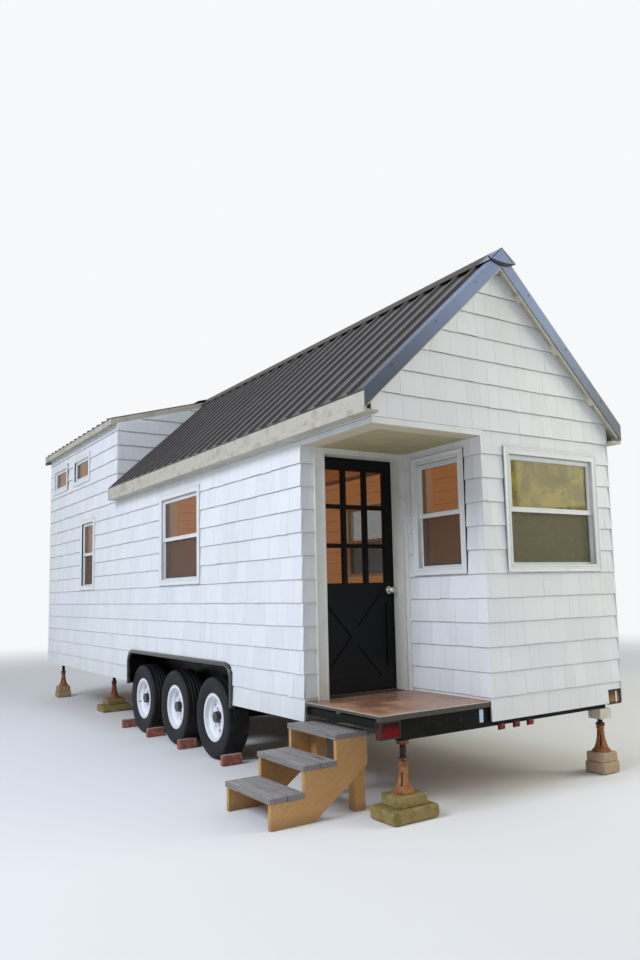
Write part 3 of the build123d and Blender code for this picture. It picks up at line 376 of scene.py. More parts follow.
def roof_sheet(s):
    """Dark sheet on top with small stiffening ribs, cream boards below darkened as painted shade under
    the overhang, and warm ones in the room that glow as painted light.
    """
    y = s.axis("Y")
    across = s.maths("ABSOLUTE", s.axis("X") - X_MIDDLE)
    slope = (y > Y_DORMER - 0.002) * (DORMER_SLOPE - ROOF_SLOPE) + ROOF_SLOPE
    below = (RIDGE - slope * across - s.axis("Z")) > 0.014
    inner = below * within_walls(s) * (s.facing("Z") < -0.3)
    patch = s.noise(0.7, 2.5, 0.7, 3)
    streak = s.noise(0.5, 26, 0.5, 3)
    metal = s.mix((0.030, 0.027, 0.027), (0.064, 0.059, 0.062), patch * 0.6 + streak * 0.4)
    metal = s.mix(metal, (0.20, 0.18, 0.16), s.patches(3.5, 0.5, 0.8) * 0.14)
    # The boards under the overhang are a darkened cream: painted shade
    cream = s.mix((0.46, 0.43, 0.36), (0.29, 0.265, 0.215), s.patches(7, 0.45, 0.75))
    pine = s.mix((0.48, 0.19, 0.06), (0.70, 0.34, 0.13), s.noise(60, 3, 3, 4))
    pine = s.mix((0.16, 0.06, 0.02), pine, s.boards(y, 0.07))
    colour = s.mix(s.mix(metal, cream, below), pine, inner)
    top = 1 - below
    rib = s.smooth(s.maths("PINGPONG", y + 0.02, 0.0381), 0.030, 0.0375) * top
    return s.finish(
        colour,
        0.30 + streak * 0.14 + below * 0.32,
        rib + patch * 0.5,
        0.3,
        0.003,
        Metallic=0.55 * top,
        # The room side glows: painted light from the room, not a lamp
        Emission_Color=s.mix((0, 0, 0), pine, inner),
        Emission_Strength=0.3,
    )


def trim_sheet(s):
    """Satin blue-grey sheet with broad waves and rain marks, darkened towards the eaves as painted shade.
    """
    patch = s.noise(1.3, 4.0, 1.3, 3)
    fine = s.noise(34, detail=4)
    # Towards the eaves the sheet is darkened: painted shade
    lower = s.smooth(s.axis("Z"), 4.1, 2.95)
    colour = s.mix((0.13, 0.18, 0.30), (0.22, 0.28, 0.43), patch)
    colour = s.mix(colour, (0.045, 0.052, 0.065), lower * 0.85)
    colour = s.mix(colour, (0.16, 0.17, 0.18), s.patches(7, 0.50, 0.78) * 0.40)
    fixed = {"Metallic": 0.15, "Specular_IOR_Level": 0.22}
    return s.finish(colour, 0.42 + fine * 0.1, patch + fine * 0.05, 0.35, 0.003, **fixed)


def clear_glass(s):
    """Clear panes with faint smears; those of the gable end carry a painted reflection of leaves in
    olive.
    """
    smear = s.noise(5, detail=4)
    front = (s.maths("ABSOLUTE", s.facing("Y")) > 0.5) * (s.axis("Y") < Y_FRONT + 0.3)
    colour = s.mix((0.010, 0.012, 0.010), (0.035, 0.040, 0.030), smear)
    # Olive patches on the gable end's panes are a painted reflection of leaves
    film = s.mix((0.110, 0.108, 0.020), (0.29, 0.265, 0.050), s.patches(7, 0.25, 0.75))
    fixed = {"Alpha": 0.34 + front * 0.38, "Specular_IOR_Level": 0.22}
    return s.finish(s.mix(colour, film, front), 0.02 + smear * 0.03, smear, 0.04, 0.002, **fixed)


def ridge_sheet(s):
    """The ridge cap's sheet: dull dark brown, and pale new metal at its open end."""
    patch = s.noise(1.5, 5.0, 1.5, 4)
    colour = s.mix((0.022, 0.017, 0.015), (0.052, 0.040, 0.034), patch)
    new = s.smooth(s.axis("Y") - Y_FRONT, 0.10, -0.06)
    colour = s.mix(colour, (0.30, 0.36, 0.45), new)
    return s.finish(colour, 0.48 + patch * 0.15, patch, 0.3, 0.002, Specular_IOR_Level=0.3)


def insect_screen(s):
    """Fine mesh seen as a grey-brown veil, and olive on the gable end."""
    weave = s.noise(40, detail=2)
    brown = s.mix((0.060, 0.036, 0.024), (0.120, 0.078, 0.056), weave)
    olive = s.mix((0.105, 0.095, 0.045), (0.200, 0.185, 0.100), weave)
    return s.finish(s.mix(brown, olive, s.axis("Y") < Y_FRONT + 0.1), 0.7, Alpha=0.55)


def black_door(s):
    """Black brushed paint, a little paler in patches and dusty near the floor."""
    brush = s.noise(60, 60, 3, 3)
    low = s.smooth(s.axis("Z"), 1.1, 0.73) * s.noise(5, detail=4)
    colour = s.mix((0.0030, 0.0033, 0.0040), (0.011, 0.011, 0.012), s.patches(9, 0.6, 0.8) * 0.7)
    colour = s.mix(colour, (0.06, 0.055, 0.05), low * 0.35)
    return s.finish(colour, 0.36 + brush * 0.15, brush, 0.25, 0.001, Specular_IOR_Level=0.16)


def black_steel(s):
    """Black chassis paint with road dust and small rust chips."""
    chip = s.patches(22, 0.64, 0.72)
    dust = s.patches(4, 0.42, 0.78)
    colour = s.mix((0.0028, 0.0028, 0.0022), (0.022, 0.019, 0.012), dust * 0.42)
    colour = s.mix(colour, (0.12, 0.045, 0.018), chip * 0.40)
    rough = 0.34 + dust * 0.28
    return s.finish(colour, rough, chip + s.noise(90) * 0.3, 0.3, 0.001, Specular_IOR_Level=0.10)


def arch_enamel(s):
    """Smooth black arch trim with a satin shine and a little dust in patches."""
    dust = s.patches(7, 0.45, 0.8)
    fine = s.noise(60, detail=3)
    colour = s.mix((0.018, 0.018, 0.020), (0.085, 0.085, 0.086), dust * 0.6)
    return s.finish(colour, 0.26 + dust * 0.2, fine, 0.1, 0.001, Coat_Weight=0.25)


def rusty_iron(s):
    """Cast iron gone to rust, with dark hollows where the tone attribute is high."""
    big = s.noise(18, detail=6, rough=0.7)
    fine = s.noise(120, detail=4, rough=0.7)
    colour = s.ramp(
        big * 0.7 + fine * 0.3,
        (0.30, (0.080, 0.036, 0.018)),
        (0.46, (0.24, 0.095, 0.034)),
        (0.60, (0.40, 0.180, 0.070)),
        (0.80, (0.24, 0.150, 0.085)),
    )
    colour = s.mix(colour, (0.018, 0.010, 0.008), s.smooth(s.tone(), 0.55, 0.95))
    return s.finish(colour, 0.72 + fine * 0.2, big * 0.4 + fine * 0.6, 0.8, 0.002, Metallic=0.25)


def dark_screw(s):
    """Greased dark steel with a little rust; parts whose tone attribute is high are rustier."""
    fine = s.noise(150, detail=4)
    rust = s.mix((0.030, 0.018, 0.012), (0.22, 0.085, 0.040), s.patches(24, 0.35, 0.65))
    dark = s.mix((0.016, 0.013, 0.011), (0.10, 0.048, 0.028), s.patches(30, 0.45, 0.75))
    colour = s.mix(dark, rust, s.tone() > 0.7)
    return s.finish(colour, 0.55 + fine * 0.25, fine, 0.5, 0.001, Metallic=0.5)


def mossy_concrete(s):
    """Old pitted concrete, tan and mossy on its upper faces, and clean where tone is high."""
    big = s.noise(9, detail=6, rough=0.65)
    grit = s.noise(160, detail=3)
    pits = s.cells(s.place, 45)
    stone = s.mix((0.17, 0.120, 0.045), (0.37, 0.275, 0.110), big)
    moss = s.smooth(s.noise(11, detail=6) + s.facing("Z") * 0.10, 0.46, 0.66)
    colour = s.mix(stone, (0.125, 0.115, 0.012), moss * 0.70)
    colour = s.mix(colour, (0.42, 0.35, 0.08), s.patches(26, 0.56, 0.72) * 0.45)
    clean = s.mix((0.34, 0.24, 0.16), (0.56, 0.42, 0.30), big)
    colour = s.mix(colour, clean, s.smooth(s.tone(), 0.7, 0.9) * 0.85)
    colour = s.mix(colour, (0.06, 0.05, 0.035), s.smooth(pits, 0.16, 0.05) * 0.7)
    return s.finish(colour, 0.92, big + grit * 0.4 + pits * 0.3, 0.9, 0.006)


def fired_brick(s):
    """Red clay with a pale dusty top and mortar smears."""
    big = s.noise(24, detail=5)
    grit = s.noise(220, detail=3)
    colour = s.ramp(
        big, (0.30, (0.17, 0.050, 0.034)), (0.52, (0.30, 0.095, 0.062)), (0.72, (0.38, 0.20, 0.15))
    )
    dusty = s.smooth(s.facing("Z"), 0.3, 0.9) * s.smooth(big, 0.30, 0.55)
    colour = s.mix(colour, (0.44, 0.36, 0.31), dusty * 0.65)
    colour = s.mix(colour, (0.34, 0.31, 0.27), s.patches(40, 0.55, 0.70, 4) * 0.45)
    return s.finish(colour, 0.9, grit * 0.5 + big, 0.8, 0.003)


def sawn(s, vector, pale, dark, knots, rough):
    """Sawn wood: vector runs along the grain in x; streaks, late-wood lines and a few knots."""
    shift = s.tone() * 7.0
    vector = s.add("VectorMath", {"operation": "ADD"}, {0: vector, 1: s.vector(shift, shift, shift)})
    streak = s.noise_at(vector, 5, 0.6)
    line = s.maths("PINGPONG", streak * 6.0, 1.0)
    broad = s.noise(3.0, detail=3)
    knot = s.smooth(s.cells(vector, 0.09), 0.10, 0.03) * knots
    colour = s.mix(pale, dark, s.smooth(line, 0.2, 1.0) * 0.20 + streak * 0.35 + broad * 0.25)
    colour = s.mix(colour, [c * 0.35 for c in dark], knot)
    return colour, rough + streak * 0.15, line * 0.5 + streak * 0.5


def floor_boards(s):
    """Planed floor boards that run along the house, with dark joints."""
    vector = s.vector(s.axis("Y") * 2.5, s.axis("X") * 50, s.axis("Z") * 50)
    colour, rough, height = sawn(s, vector, (0.50, 0.31, 0.16), (0.28, 0.15, 0.07), 0.4, 0.55)
    colour = s.mix((0.06, 0.03, 0.015), colour, s.boards(s.axis("X"), 0.065, 0.003))
    return s.finish(colour, rough, height, 0.4, 0.0012)


def new_pine(s):
    """Treated pine: the grain follows the stringers' slope, and is upright in the posts between."""
    x, y, z = s.axis("X"), s.axis("Y"), s.axis("Z")
    run, rise = 0.829, 0.559  # cosine and sine of the stringers' slope
    along = s.vector((x * run + z * rise) * 3.0, y * 60, (z * run - x * rise) * 60)
    upright = s.vector(z * 3.0, x * 60, y * 60)
    post = (y > STEP_Y[0] + STRINGER + 0.001) * (y < STEP_Y[1] - STRINGER - 0.001)
    vector = s.add("Mix", {"data_type": "VECTOR"}, {0: post, 4: along, 5: upright}, 1)
    colour, rough, height = sawn(s, vector, (0.62, 0.365, 0.140), (0.33, 0.150, 0.048), 1.0, 0.58)
    damp = s.smooth(z, 0.10, 0.0) * 0.45
    return s.finish(s.mix(colour, (0.14, 0.075, 0.035), damp), rough, height, 0.3, 0.0012)


def weathered_tread(s):
    """Grey weathered planks with dark checks, darker on their sawn ends and edges."""
    vector = s.vector(s.axis("Y") * 2.5, s.axis("X") * 55, s.axis("Z") * 55)
    colour, rough, height = sawn(s, vector, (0.46, 0.44, 0.44), (0.060, 0.050, 0.045), 0.8, 0.74)
    check = s.smooth(s.noise(90, 3.5, 90, 3), 0.58, 0.66)
    colour = s.mix(colour, (0.040, 0.034, 0.030), check * 0.8)
    side = s.smooth(s.maths("ABSOLUTE", s.facing("Z")), 0.7, 0.2)
    colour = s.mix(colour, (0.17, 0.145, 0.115), side * 0.55)
    return s.finish(colour, rough, height - check, 0.6, 0.0016)


def pale_block(s):
    """Pale new end-grain block."""
    grain = s.noise(60, 60, 4, 4)
    colour = s.mix((0.66, 0.61, 0.54), (0.46, 0.39, 0.31), s.smooth(grain, 0.40, 0.72))
    return s.finish(colour, 0.8, grain, 0.5, 0.0015)


def porch_boards(s):
    """Brown film-faced plywood, worn by feet, with a pale rubbed edge and dark plies below."""
    x, y, z = s.axis("X"), s.axis("Y"), s.axis("Z")
    grain = s.noise(5, 70, 70, 5)
    worn = s.patches(3.6, 0.38, 0.74)
    scuff = s.smooth(s.noise(26, 8, 26, 4), 0.58, 0.74)
    edge = s.maths("MAXIMUM", s.smooth(x - X_LEFT, 0.016, 0.003), s.smooth(y - Y_FRONT, 0.016, 0.003))
    colour = s.mix((0.220, 0.105, 0.060), (0.53, 0.300, 0.190), worn * 0.75 + grain * 0.2)
    colour = s.mix(colour, (0.52, 0.38, 0.29), scuff * 0.30)
    colour = s.mix(colour, (0.48, 0.47, 0.40), edge * s.smooth(grain, 0.20, 0.55))
    side = z < DECK - 0.004
    ply = s.maths("PINGPONG", z, 0.003) * 120
    colour = s.mix(colour, s.mix((0.030, 0.026, 0.022), (0.085, 0.070, 0.052), ply), side)
    return s.finish(colour, 0.27 + worn * 0.22, grain + worn, 0.3, 0.002)


def tyre_rubber(s):
    """Black rubber with a little dust in patches."""
    dust = s.noise(9, detail=5)
    fine = s.noise(300, detail=2)
    colour = s.mix((0.0045, 0.0048, 0.0060), (0.019, 0.019, 0.020), s.smooth(dust, 0.45, 0.78))
    return s.finish(colour, 0.50 + dust * 0.2, fine, 0.2, 0.0006, Specular_IOR_Level=0.25)


def wheel_paint(s):
    """White spokes and rim with a black hub, greyer towards the rim's edge, and painted shade behind the
    disc.
    """
    low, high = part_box("tyre_left_1")
    half_pitch = (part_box("tyre_left_2")[0].y - low.y) / 2
    rise = s.axis("Z") - high.z / 2
    run = s.maths("PINGPONG", s.axis("Y") - (low.y + high.y) / 2, half_pitch)
    radius = s.maths("SQRT", rise * rise + run * run)
    dust = s.noise(26, detail=5)
    white = s.mix((0.80, 0.82, 0.86), (0.52, 0.51, 0.50), s.smooth(dust, 0.54, 0.80) * 0.45)
    grime = s.smooth(radius, 0.19, 0.23) * 0.2
    colour = s.mix(s.mix(white, (0.30, 0.30, 0.30), grime), (0.012, 0.012, 0.014), radius < 0.0605)
    # Behind the disc the paint is darkened as painted shade, so the hand holes look dark
    disc_back = (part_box("tyre_right_1")[0].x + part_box("tyre_right_1")[1].x) / 2 - X_MIDDLE + 0.011
    behind = s.maths("ABSOLUTE", s.axis("X") - X_MIDDLE) < disc_back
    colour = s.mix(colour, (0.035, 0.033, 0.032), behind)
    return s.finish(colour, 0.30 + dust * 0.15, dust, 0.12, 0.001, Coat_Weight=0.3)


def red_lens(s):
    """Deep red lens on the left, amber-brown on the right, with a painted highlight near its lower edge.
    """
    # Brighter near the lower edge: a painted highlight in the lens
    low = s.smooth(s.axis("Z"), 0.66, 0.60)
    red = s.mix((0.010, 0.0005, 0.0005), (0.17, 0.0015, 0.002), low * 0.75 + s.noise(14) * 0.25)
    amber = s.mix((0.11, 0.045, 0.012), (0.30, 0.14, 0.035), low)
    colour = s.mix(red, amber, s.axis("X") > X_MIDDLE)
    rib = s.maths("PINGPONG", s.axis("X") + s.axis("Y"), 0.006) * 160
    return s.finish(colour, 0.20, rib, 0.5, 0.001, Specular_IOR_Level=0.12)


def clearance_lens(s):
    """Clear red plastic over small prisms."""
    facet = s.cells(s.place, 220)
    colour = s.mix((0.05, 0.002, 0.002), (0.24, 0.007, 0.006), s.smooth(facet, 0.1, 0.6))
    return s.finish(colour, 0.18, facet, 0.4, 0.0006, Specular_IOR_Level=0.3)


def reflector_face(s):
    """Pale blue reflector over small prisms."""
    facet = s.cells(s.place, 160)
    colour = s.mix((0.20, 0.36, 0.52), (0.52, 0.68, 0.82), s.smooth(facet, 0.2, 0.6))
    return s.finish(colour, 0.12, facet, 0.6, 0.001, Coat_Weight=0.6)


def bright_metal(colour, rough):
    """Bright metal with small dull spots."""

    def build(s):
        fine = s.noise(160, detail=3)
        dull = s.mix(colour, [c * 0.6 for c in colour], s.smooth(fine, 0.5, 0.8))
        return s.finish(dull, rough + fine * 0.1, fine, 0.1, 0.0005, Metallic=0.9)

    return build


LOOKS = {
    "painted_shingle": paint_shingle,
    "wall_core": wall_core,
    "roof_sheet": roof_sheet,
    "trim_sheet": trim_sheet,
    "ridge_sheet": ridge_sheet,
    "white_trim": plain_paint((0.70, 0.71, 0.70), (0.58, 0.57, 0.50)),
    "cream_trim": plain_paint((0.72, 0.725, 0.665), (0.62, 0.615, 0.545)),
    "ceiling_paint": plain_paint((0.42, 0.365, 0.215), (0.33, 0.28, 0.155), 4.0, 0.5, 0.7),
    # The eave trim's cream is darkened as painted shade
    "eave_paint": plain_paint((0.46, 0.43, 0.36), (0.28, 0.25, 0.20), 6.0, 0.55, 0.8),
    "rake_board": plain_paint((0.62, 0.57, 0.45), (0.40, 0.35, 0.26), 9.0, 0.6, 0.7),
    "window_vinyl": plain_paint(
        (0.68, 0.70, 0.70), (0.58, 0.585, 0.55), 12, 0.36, 0.4, lit=(0.50, 0.25, 0.10)
    ),
    "clear_glass": clear_glass,
    "insect_screen": insect_screen,
    "black_door": black_door,
    "black_rubber": plain_paint((0.010, 0.010, 0.010), (0.025, 0.025, 0.025), 20.0, 0.7),
    "dark_sill": plain_paint((0.055, 0.050, 0.045), (0.12, 0.11, 0.10), 15.0, 0.4),
    "black_steel": black_steel,
    "arch_enamel": arch_enamel,
    "rusty_iron": rusty_iron,
    "dark_screw": dark_screw,
    "mossy_concrete": mossy_concrete,
    "fired_brick": fired_brick,
    "floor_boards": floor_boards,
    "new_pine": new_pine,
    "weathered_tread": weathered_tread,
    "pale_block": pale_block,
    "porch_boards": porch_boards,
    "tyre_rubber": tyre_rubber,
    "wheel_paint": wheel_paint,
    "red_lens": red_lens,
    "clearance_lens": clearance_lens,
    "reflector_face": reflector_face,
    "zinc": bright_metal((0.55, 0.55, 0.55), 0.35),
    "satin_knob": bright_metal((0.74, 0.72, 0.68), 0.22),
}

NODE_LOOKS = {
    "wall_core": (
        "bay_front_wall front_gable porch_side_wall door_wall_left door_wall_right door_wall_head "
        "porch_header left_wall right_wall rear_wall left_dormer_walls right_dormer_walls"
    ),
    "roof_sheet": "left_roof right_roof left_dormer_roof right_dormer_roof",
    "trim_sheet": "rake_trim",
    "ridge_sheet": "ridge_cap",
    "eave_paint": "eave_trim",
    "cream_trim": "door_frame",
    "ceiling_paint": "porch_ceiling",
    "window_vinyl": "bay_window porch_window left_windows right_windows rear_window dormer_windows",
    "clear_glass": "window_glass door_glass",
    "floor_boards": "floor",
    "porch_boards": "porch_deck",
    "black_door": "door_slab",
    "satin_knob": "door_hardware",
    "black_steel": "chassis_rails cross_members tongue coupler wheel_wells axles leaf_springs",
    "arch_enamel": "arch_trims",
    "red_lens": "tail_lights",
    "rusty_iron": "jack_bases",
    "dark_screw": "jack_screws",
    "mossy_concrete": "support_blocks",
    "new_pine": "step_frame",
    "weathered_tread": "step_treads",
    "fired_brick": "bricks",
    "tyre_rubber": " ".join(f"tyre_{side}_{number}" for side, number, _ in WHEELS),
    "wheel_paint": " ".join(f"wheel_{side}_{number}" for side, number, _ in WHEELS),
}


def look(name):
    """The named material, built the first time it is asked for."""
    found = bpy.data.materials.get(name)
    return found or LOOKS[name](Shader(bpy.data.materials.new(name)))


# Surfaces worked out on grids of points


def grid_faces(rows, columns, close_rows=False, close_columns=False):
    """Four-sided faces of a grid of points; a closed direction joins its last line to its first."""
    r = np.arange(rows if close_rows else rows - 1)
    c = np.arange(columns if close_columns else columns - 1)
    a, b = np.meshgrid(r, c, indexing="ij")
    a2, b2 = (a + 1) % rows, (b + 1) % columns
    faces = np.stack([a * columns + b, a2 * columns + b, a2 * columns + b2, a * columns + b2], -1)
    return faces.reshape(-1, 4)


def merge(shapes):
    """Several shapes as one: their points in a row, and faces counted on."""
    points = np.concatenate([p for p, _ in shapes])
    starts = np.cumsum([0] + [len(p) for p, _ in shapes[:-1]])
    faces = np.concatenate([f + start for (_, f), start in zip(shapes, starts)])
    return points, faces


SOLID_FACES = np.array(
    [[0, 4, 6, 2], [1, 3, 7, 5], [0, 1, 5, 4], [2, 6, 7, 3], [0, 2, 3, 1], [4, 5, 7, 6]]
)


def solids(corners):
    """Six-sided solids from n x 8 corners, counted along first, then outwards, then up."""
    corners = np.asarray(corners, float)
    edges = corners[:, [1, 2, 4]] - corners[:, [0]]
    flip = np.einsum("ni,ni->n", np.cross(edges[:, 0], edges[:, 1]), edges[:, 2]) < 0
    faces = SOLID_FACES[None] + 8 * np.arange(len(corners))[:, None, None]
    faces[flip] = faces[flip][:, :, ::-1]
    return corners.reshape(-1, 3), faces.reshape(-1, 4)


def boxes(lows, highs):
    """Upright boxes between pairs of opposite corners."""
    lows, highs = np.asarray(lows, float), np.asarray(highs, float)
    pick = np.array([[i, j, k] for k in (0, 1) for j in (0, 1) for i in (0, 1)])
    return solids(np.where(pick[None], highs[:, None], lows[:, None]))


def band(low, high, thick):
    """A strip between two lines of points, given a thickness: its section goes low, low + thick,
    high + thick, high, is carried along the lines and is closed at both ends."""
    low, high, thick = (np.asarray(v, float) for v in (low, high, thick))
    section = np.stack([low, low + thick, high + thick, high], 1)
    sides = grid_faces(len(low), 4, False, True)
    last = 4 * (len(low) - 1)
    caps = np.array([[0, 1, 2, 3], [last + 3, last + 2, last + 1, last]])
    faces = np.concatenate([sides, caps])
    step = low[-1] - low[0]
    if np.dot(np.cross(thick, (high - low)[len(low) // 2]), step) > 0:
        faces = faces[:, ::-1]
    return section.reshape(-1, 3), faces


def turned(profile, centre, axis, steps=32):
    """A turned shape: point (a, r) at angle t lies at centre + a axis + r (cos t side + sin t up)."""
    profile = np.asarray(profile, float)
    axis = np.asarray(axis, float)
    side = np.cross(axis, (0.0, 0.0, 1.0) if abs(axis[2]) < 0.9 else (0.0, 1.0, 0.0))
    side /= np.linalg.norm(side)
    up = np.cross(axis, side)
    t = np.linspace(0, tau, steps, endpoint=False)[:, None, None]
    along = profile[None, :, 0, None] * axis
    out = profile[None, :, 1, None] * (np.cos(t) * side + np.sin(t) * up)
    points = np.asarray(centre, float) + along + out
    return points.reshape(-1, 3), grid_faces(steps, len(profile), close_rows=True)


def upright_turned(radii, rises, centre):
    """A shape turned about an upright axis, with a radius for every angle and every height."""
    t = np.linspace(0, tau, len(radii), endpoint=False)[:, None]
    points = np.stack([radii * np.cos(t), radii * np.sin(t), np.broadcast_to(rises, radii.shape)], -1)
    faces = grid_faces(*radii.shape, close_rows=True)
    return (points + np.asarray(centre, float)).reshape(-1, 3), faces


def copies(shape, places):
    """The same shape at many places."""
    points, faces = shape
    places = np.asarray(places, float)
    moved = (points[None] + places[:, None]).reshape(-1, 3)
    counted = (faces[None] + len(points) * np.arange(len(places))[:, None, None]).reshape(-1, 4)
    return moved, counted


def moulding(middle, along, out, width, height, profile):
    """A moulding round a rectangle: profile points are (inwards, outwards) at each mitred corner."""
    along, out = np.asarray(along, float), np.asarray(out, float)
    up = np.array([0.0, 0.0, 1.0])
    profile = np.asarray(profile, float)
    inward, depth = profile[None, :, 0, None], profile[None, :, 1, None]
    turns = np.array([[-1, -1], [1, -1], [1, 1], [-1, 1]], float)
    sides, rises = turns[:, 0, None, None], turns[:, 1, None, None]
    points = (
        np.asarray(middle, float)
        + along * sides * (width / 2 - inward)
        + up * rises * (height / 2 - inward)
        + out * depth
    )
    faces = grid_faces(4, len(profile), True, True)
    if np.dot(np.cross(along, up), out) < 0:
        faces = faces[:, ::-1]
    return points.reshape(-1, 3), faces


def worn_block(low, high, rounding, wear, seed, steps=11):
    """A block with soft worn edges.

    Each point of the box is drawn in to the box less the rounding, and set out again by the
    rounding along the way it came; three slow sine waves then take off up to the wear.
    """
    low, high = np.asarray(low, float), np.asarray(high, float)
    share = (1 - np.cos(np.linspace(0, pi, steps))) / 2
    u, v = np.meshgrid(share, share, indexing="ij")
    shapes = []
    for axis in range(3):
        for end in (0.0, 1.0):
            grid = np.empty((steps, steps, 3))
            grid[..., axis] = end
            grid[..., (axis + 1) % 3] = u
            grid[..., (axis + 2) % 3] = v
            faces = grid_faces(steps, steps)
            shapes.append((grid.reshape(-1, 3), faces if end else faces[:, ::-1]))
    points, faces = merge(shapes)
    points = low + points * (high - low)
    inner = np.clip(points, low + rounding, high - rounding)
    way = points - inner
    way /= np.linalg.norm(way, axis=1)[:, None]
    random = np.random.default_rng(seed)
    waves = random.uniform(18, 75, (3, 3)) * random.choice([-1, 1], (3, 3))
    wave = np.sin(points @ waves + random.uniform(0, tau, 3)).mean(1)
    return inner + way * (rounding - wear * (0.5 + 0.5 * wave))[:, None], faces


def piece(
    name, shape, look_name, body="house", stands_for=(), smooth=False, tone=None, weld=False
):
    """Makes the mesh, gives it its material, and lets it ride on a CAD body."""
    points, faces = shape
    mesh = bpy.data.meshes.new(name)
    mesh.vertices.add(len(points))
    mesh.vertices.foreach_set("co", points.astype(np.float32).ravel())
    mesh.loops.add(faces.size)
    mesh.loops.foreach_set("vertex_index", faces.astype(np.int32).ravel())
    mesh.polygons.add(len(faces))
    mesh.polygons.foreach_set("loop_start", np.arange(0, faces.size, faces.shape[1], dtype=np.int32))
    mesh.update(calc_edges=True)
    mesh.validate()
    attribute = mesh.attributes.new("tone", "FLOAT", "POINT")
    values = np.full(len(mesh.vertices), 0.5) if tone is None else tone
    attribute.data.foreach_set("value", np.asarray(values, np.float32))
    mesh.polygons.foreach_set("use_smooth", np.full(len(mesh.polygons), smooth))
    mesh.materials.append(look(look_name))
    made = bpy.data.objects.new(name, mesh)
    bpy.context.scene.collection.objects.link(made)
    if weld:
        modifier = made.modifiers.new("weld", "WELD")
        modifier.merge_threshold = 1e-5
    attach(made, body)
    if stands_for:
        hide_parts(*stands_for)
    return made


def tones(shapes, values):
    """One number for each shape's points, in a row as merge sets them."""
    return np.concatenate([np.full(len(points), value) for (points, _), value in zip(shapes, values)])


# Screw heads: height over the surface, and share of the washer's radius
ROOF_HEAD = ((0, 0), (0, 1), (0.0015, 1), (0.002, 0.7), (0.005, 0.6), (0.006, 0))
WOOD_HEAD = ((0, 0), (0, 1), (0.0012, 1), (0.0018, 0.7), (0.004, 0.55), (0.0045, 0))


def screw_heads(profile, radius, axis, places):
    """Small low domes on washers, standing along an axis at many places."""
    head = [(rise, radius * share) for rise, share in profile]
    return copies(turned(head, (0, 0, 0), axis, 8), places)


# Settings


class ShingleSettings(bpy.types.PropertyGroup):
    """Sizes of the painted shingles"""

    exposure: FloatProperty(
        name="Exposure", description="Height of a course that shows", default=0.190, unit="LENGTH"
    )
    first_butt: FloatProperty(
        name="First butt", description="Height of a butt line", default=0.560, unit="LENGTH"
    )
    butt: FloatProperty(
        name="Butt", description="Thickness at the lower edge", default=0.0125, unit="LENGTH"
    )
    tip: FloatProperty(
        name="Tip", description="Thickness at the upper edge", default=0.002, unit="LENGTH"
    )
    narrow: FloatProperty(
        name="Narrowest", description="Width of the narrowest", default=0.080, unit="LENGTH"
    )
    wide: FloatProperty(name="Widest", description="Width of the widest", default=0.235, unit="LENGTH")
    gap: FloatProperty(name="Gap", description="Joint between neighbours", default=0.0012, unit="LENGTH")
    seed: IntProperty(name="Seed", description="Picks the widths", default=7)


class RoofSettings(bpy.types.PropertyGroup):
    """Spacing of the roof's fixings and of the blocks under its overhang"""

    rib: FloatProperty(
        name="Rib spacing", description="Distance between ribs", default=0.229, unit="LENGTH"
    )
    screw: FloatProperty(
        name="Screw head", description="Radius of a screw's washer", default=0.0055, unit="LENGTH"
    )
    rows: IntProperty(name="Rows", description="Rows of screws up a slope", default=5)
    board: FloatProperty(
        name="Rake board", description="Height of the board", default=0.028, unit="LENGTH"
    )
    lookout: FloatProperty(
        name="Lookouts", description="Distance between them", default=0.42, unit="LENGTH"
    )


class SupportSettings(bpy.types.PropertyGroup):
    """Wear of the blocks, and shape of the jacks"""

    rounding: FloatProperty(
        name="Rounding", description="Radius of worn edges", default=0.014, unit="LENGTH"
    )
    wear: FloatProperty(
        name="Wear", description="Depth of the worn hollows", default=0.005, unit="LENGTH"
    )
    pitch: FloatProperty(
        name="Thread pitch", description="Rise of the screw in one turn", default=0.011, unit="LENGTH"
    )
    slots: IntProperty(name="Slots", description="Hollows round a jack's base", default=4)


class StageSettings(bpy.types.PropertyGroup):
    """Light and floor"""

    key: FloatProperty(
        name="Key light", description="Strength of the large lamp", default=1620.0, unit="POWER"
    )
    fill: FloatProperty(
        name="Fill light", description="Strength of the second lamp", default=640.0, unit="POWER"
    )
    sky: FloatProperty(name="Sky", description="Strength of the light from all round", default=0.50)
    floor: FloatVectorProperty(
        name="Floor",
        description="Colour of the floor",
        subtype="COLOR",
        size=3,
        default=(0.80, 0.80, 0.80),
    )
    backdrop: FloatVectorProperty(
        name="Backdrop",
        description="Colour far behind",
        subtype="COLOR",
        size=3,
        default=(0.93, 0.94, 0.95),
    )


SETTINGS = {
    "tiny_house_shingles": ShingleSettings,
    "tiny_house_roof": RoofSettings,
    "tiny_house_supports": SupportSettings,
    "tiny_house_stage": StageSettings,
}


def settings(name):
    """One group of the scene's settings."""
    return getattr(bpy.context.scene, "tiny_house_" + name)


# Shingles


